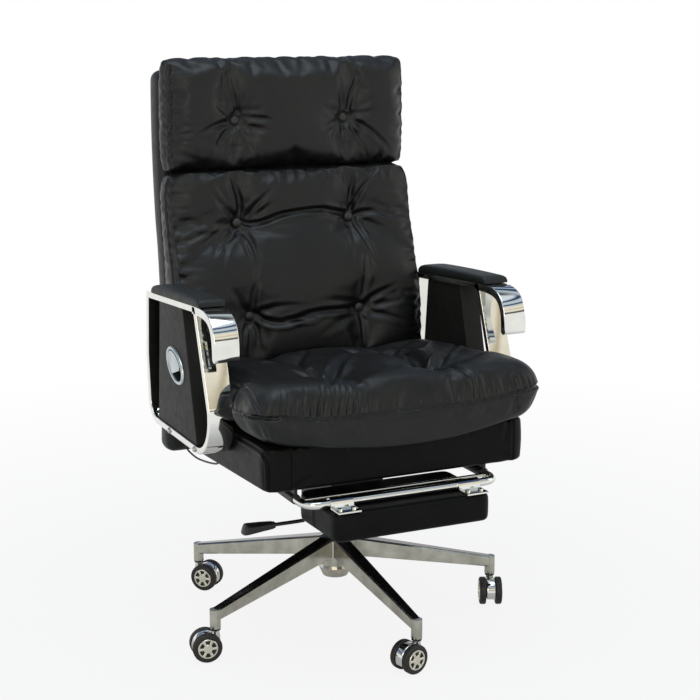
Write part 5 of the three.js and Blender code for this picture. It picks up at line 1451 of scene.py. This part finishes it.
def add_floor():
    """White to the camera and in reflections, with the shadow near the chair. Grey to the light."""
    reach, level = 9000, -1
    corners = [(-reach, -reach, level), (reach, -reach, level), (reach, reach, level), (-reach, reach, level)]
    floor = mesh_object("floor", corners, [(0, 1, 2, 3)])
    made, tree, shader = material("floor")
    shader.inputs["Base Color"].default_value = (0.5, 0.5, 0.5, 1)
    shader.inputs["Roughness"].default_value = 0.9
    shader.inputs["Specular IOR Level"].default_value = 0
    white = add_node(tree, "ShaderNodeEmission", Strength=1.0)
    coords = tree.nodes.new("ShaderNodeTexCoord")
    away = add_node(tree, "ShaderNodeVectorMath", operation="LENGTH")
    tree.links.new(coords.outputs["Object"], away.inputs[0])
    # How white the floor is for each kind of ray: at the chair, and from where to where it turns all white.
    # Near the chair it is less white, as painted shadow, strongly in reflections and slightly to the camera,
    # on top of the real shadow
    seen = ((rays_of(tree, "Camera"), 0.88, 0.7, 2.4),
            (rays_of(tree, "Glossy", "Transmission"), 0.35, 0.45, 1.6))
    share = add_node(tree, "ShaderNodeValue").outputs[0]
    share.default_value = 0
    for rays, near, start, end in seen:
        part = add_node(tree, "ShaderNodeMath", operation="MULTIPLY_ADD")
        tree.links.new(rays, part.inputs[0])
        tree.links.new(spread(tree, away.outputs["Value"], near, 1, start, end), part.inputs[1])
        tree.links.new(share, part.inputs[2])
        share = part.outputs[0]
    blend = tree.nodes.new("ShaderNodeMixShader")
    tree.links.new(share, blend.inputs["Fac"])
    tree.links.new(shader.outputs[0], blend.inputs[1])
    tree.links.new(white.outputs[0], blend.inputs[2])
    tree.links.new(blend.outputs[0], tree.nodes["Material Output"].inputs["Surface"])
    floor.data.materials.append(made)


def sky(tree, height, stops):
    """Colours by height, from 0 straight down over 0.5 at the horizon to 1 straight up."""
    node = tree.nodes.new("ShaderNodeValToRGB")
    points = node.color_ramp.elements
    points[0].position, points[1].position = stops[0][0], stops[-1][0]
    for place, color in stops[1:-1]:
        points.new(place).color = (*color, 1)
    points[0].color, points[-1].color = (*stops[0][1], 1), (*stops[-1][1], 1)
    tree.links.new(height, node.inputs["Fac"])
    return node.outputs["Color"]


def mixed(tree, share, first, last):
    node = tree.nodes.new("ShaderNodeMix")
    node.data_type = "RGBA"
    for source, socket in ((share, 0), (first, 6), (last, 7)):
        tree.links.new(source, node.inputs[socket])
    return node.outputs[2]


def add_world():
    """White to a little over the horizon, then a banded sky. The object's soft light is a plain sky."""
    world = bpy.data.worlds.new("world")
    scene.world = world
    world.use_nodes = True
    tree = world.node_tree
    background = tree.nodes["Background"]
    background.inputs["Strength"].default_value = 1.0
    coords = tree.nodes.new("ShaderNodeTexCoord")
    split = tree.nodes.new("ShaderNodeSeparateXYZ")
    tree.links.new(coords.outputs["Generated"], split.inputs[0])
    height = add_node(tree, "ShaderNodeMapRange")
    height.inputs["From Min"].default_value = -1
    tree.links.new(split.outputs["Z"], height.inputs["Value"])
    white, cream, dark, blue = (1, 1, 1), (0.96, 0.9, 0.76), (0.07, 0.065, 0.06), (0.03, 0.06, 0.16)
    brown, pale, top = (0.5, 0.42, 0.28), (0.62, 0.72, 0.8), (0.8, 0.9, 1)
    near = sky(tree, height.outputs["Result"], [
        (0, white), (0.61, white), (0.622, dark), (0.64, dark), (0.655, cream), (0.69, cream), (0.7, brown),
        (0.712, cream), (0.75, cream), (0.78, pale), (0.8, blue), (0.812, blue), (0.83, pale), (0.87, pale),
        (0.885, blue), (0.9, blue), (0.92, top), (1, top)])
    far = sky(tree, height.outputs["Result"], [
        (0, white), (0.61, white), (0.64, blue), (0.66, blue), (0.675, pale), (0.71, blue), (0.74, blue),
        (0.77, pale), (0.8, blue), (0.84, blue), (0.88, pale), (0.95, dark), (0.96, dark), (0.98, top)])
    side = add_node(tree, "ShaderNodeMapRange")
    side.inputs["From Min"].default_value, side.inputs["From Max"].default_value = -0.05, 0.15
    tree.links.new(split.outputs["Y"], side.inputs["Value"])
    plain = ramp(tree, height.outputs["Result"], 0.55, 1, (0.3, 0.29, 0.28), (0.55, 0.62, 0.68))
    banded = mixed(tree, side.outputs["Result"], near, far)
    seen = rays_of(tree, "Camera", "Glossy", "Transmission")
    tree.links.new(mixed(tree, seen, plain, banded), background.inputs["Color"])


def add_lamp(name, place, aim, size, power, color):
    data = bpy.data.lights.new(name, "AREA")
    data.shape, data.size, data.size_y = "RECTANGLE", size[0], size[1]
    data.energy, data.color = power, color
    lamp = bpy.data.objects.new(name, data)
    scene.collection.objects.link(lamp)
    lamp.location = place
    lamp.rotation_mode = "QUATERNION"
    lamp.rotation_quaternion = (Vector(aim) - Vector(place)).to_track_quat("-Z", "Y")


add_floor()
add_world()
add_lamp("overhead", (-0.4, -0.4, 3.4), (0, 0, 0.6), (2.6, 2.2), 45, (0.82, 0.92, 1.0))
add_lamp("front", (-2.6, -3.4, 2.0), (0, 0, 0.7), (1.6, 1.6), 26, (1.0, 0.9, 0.78))
add_lamp("side", (3.2, -1.2, 1.8), (0, 0, 0.6), (1.4, 2.0), 10, (1.0, 0.97, 0.93))
scene.view_settings.view_transform = "Standard"
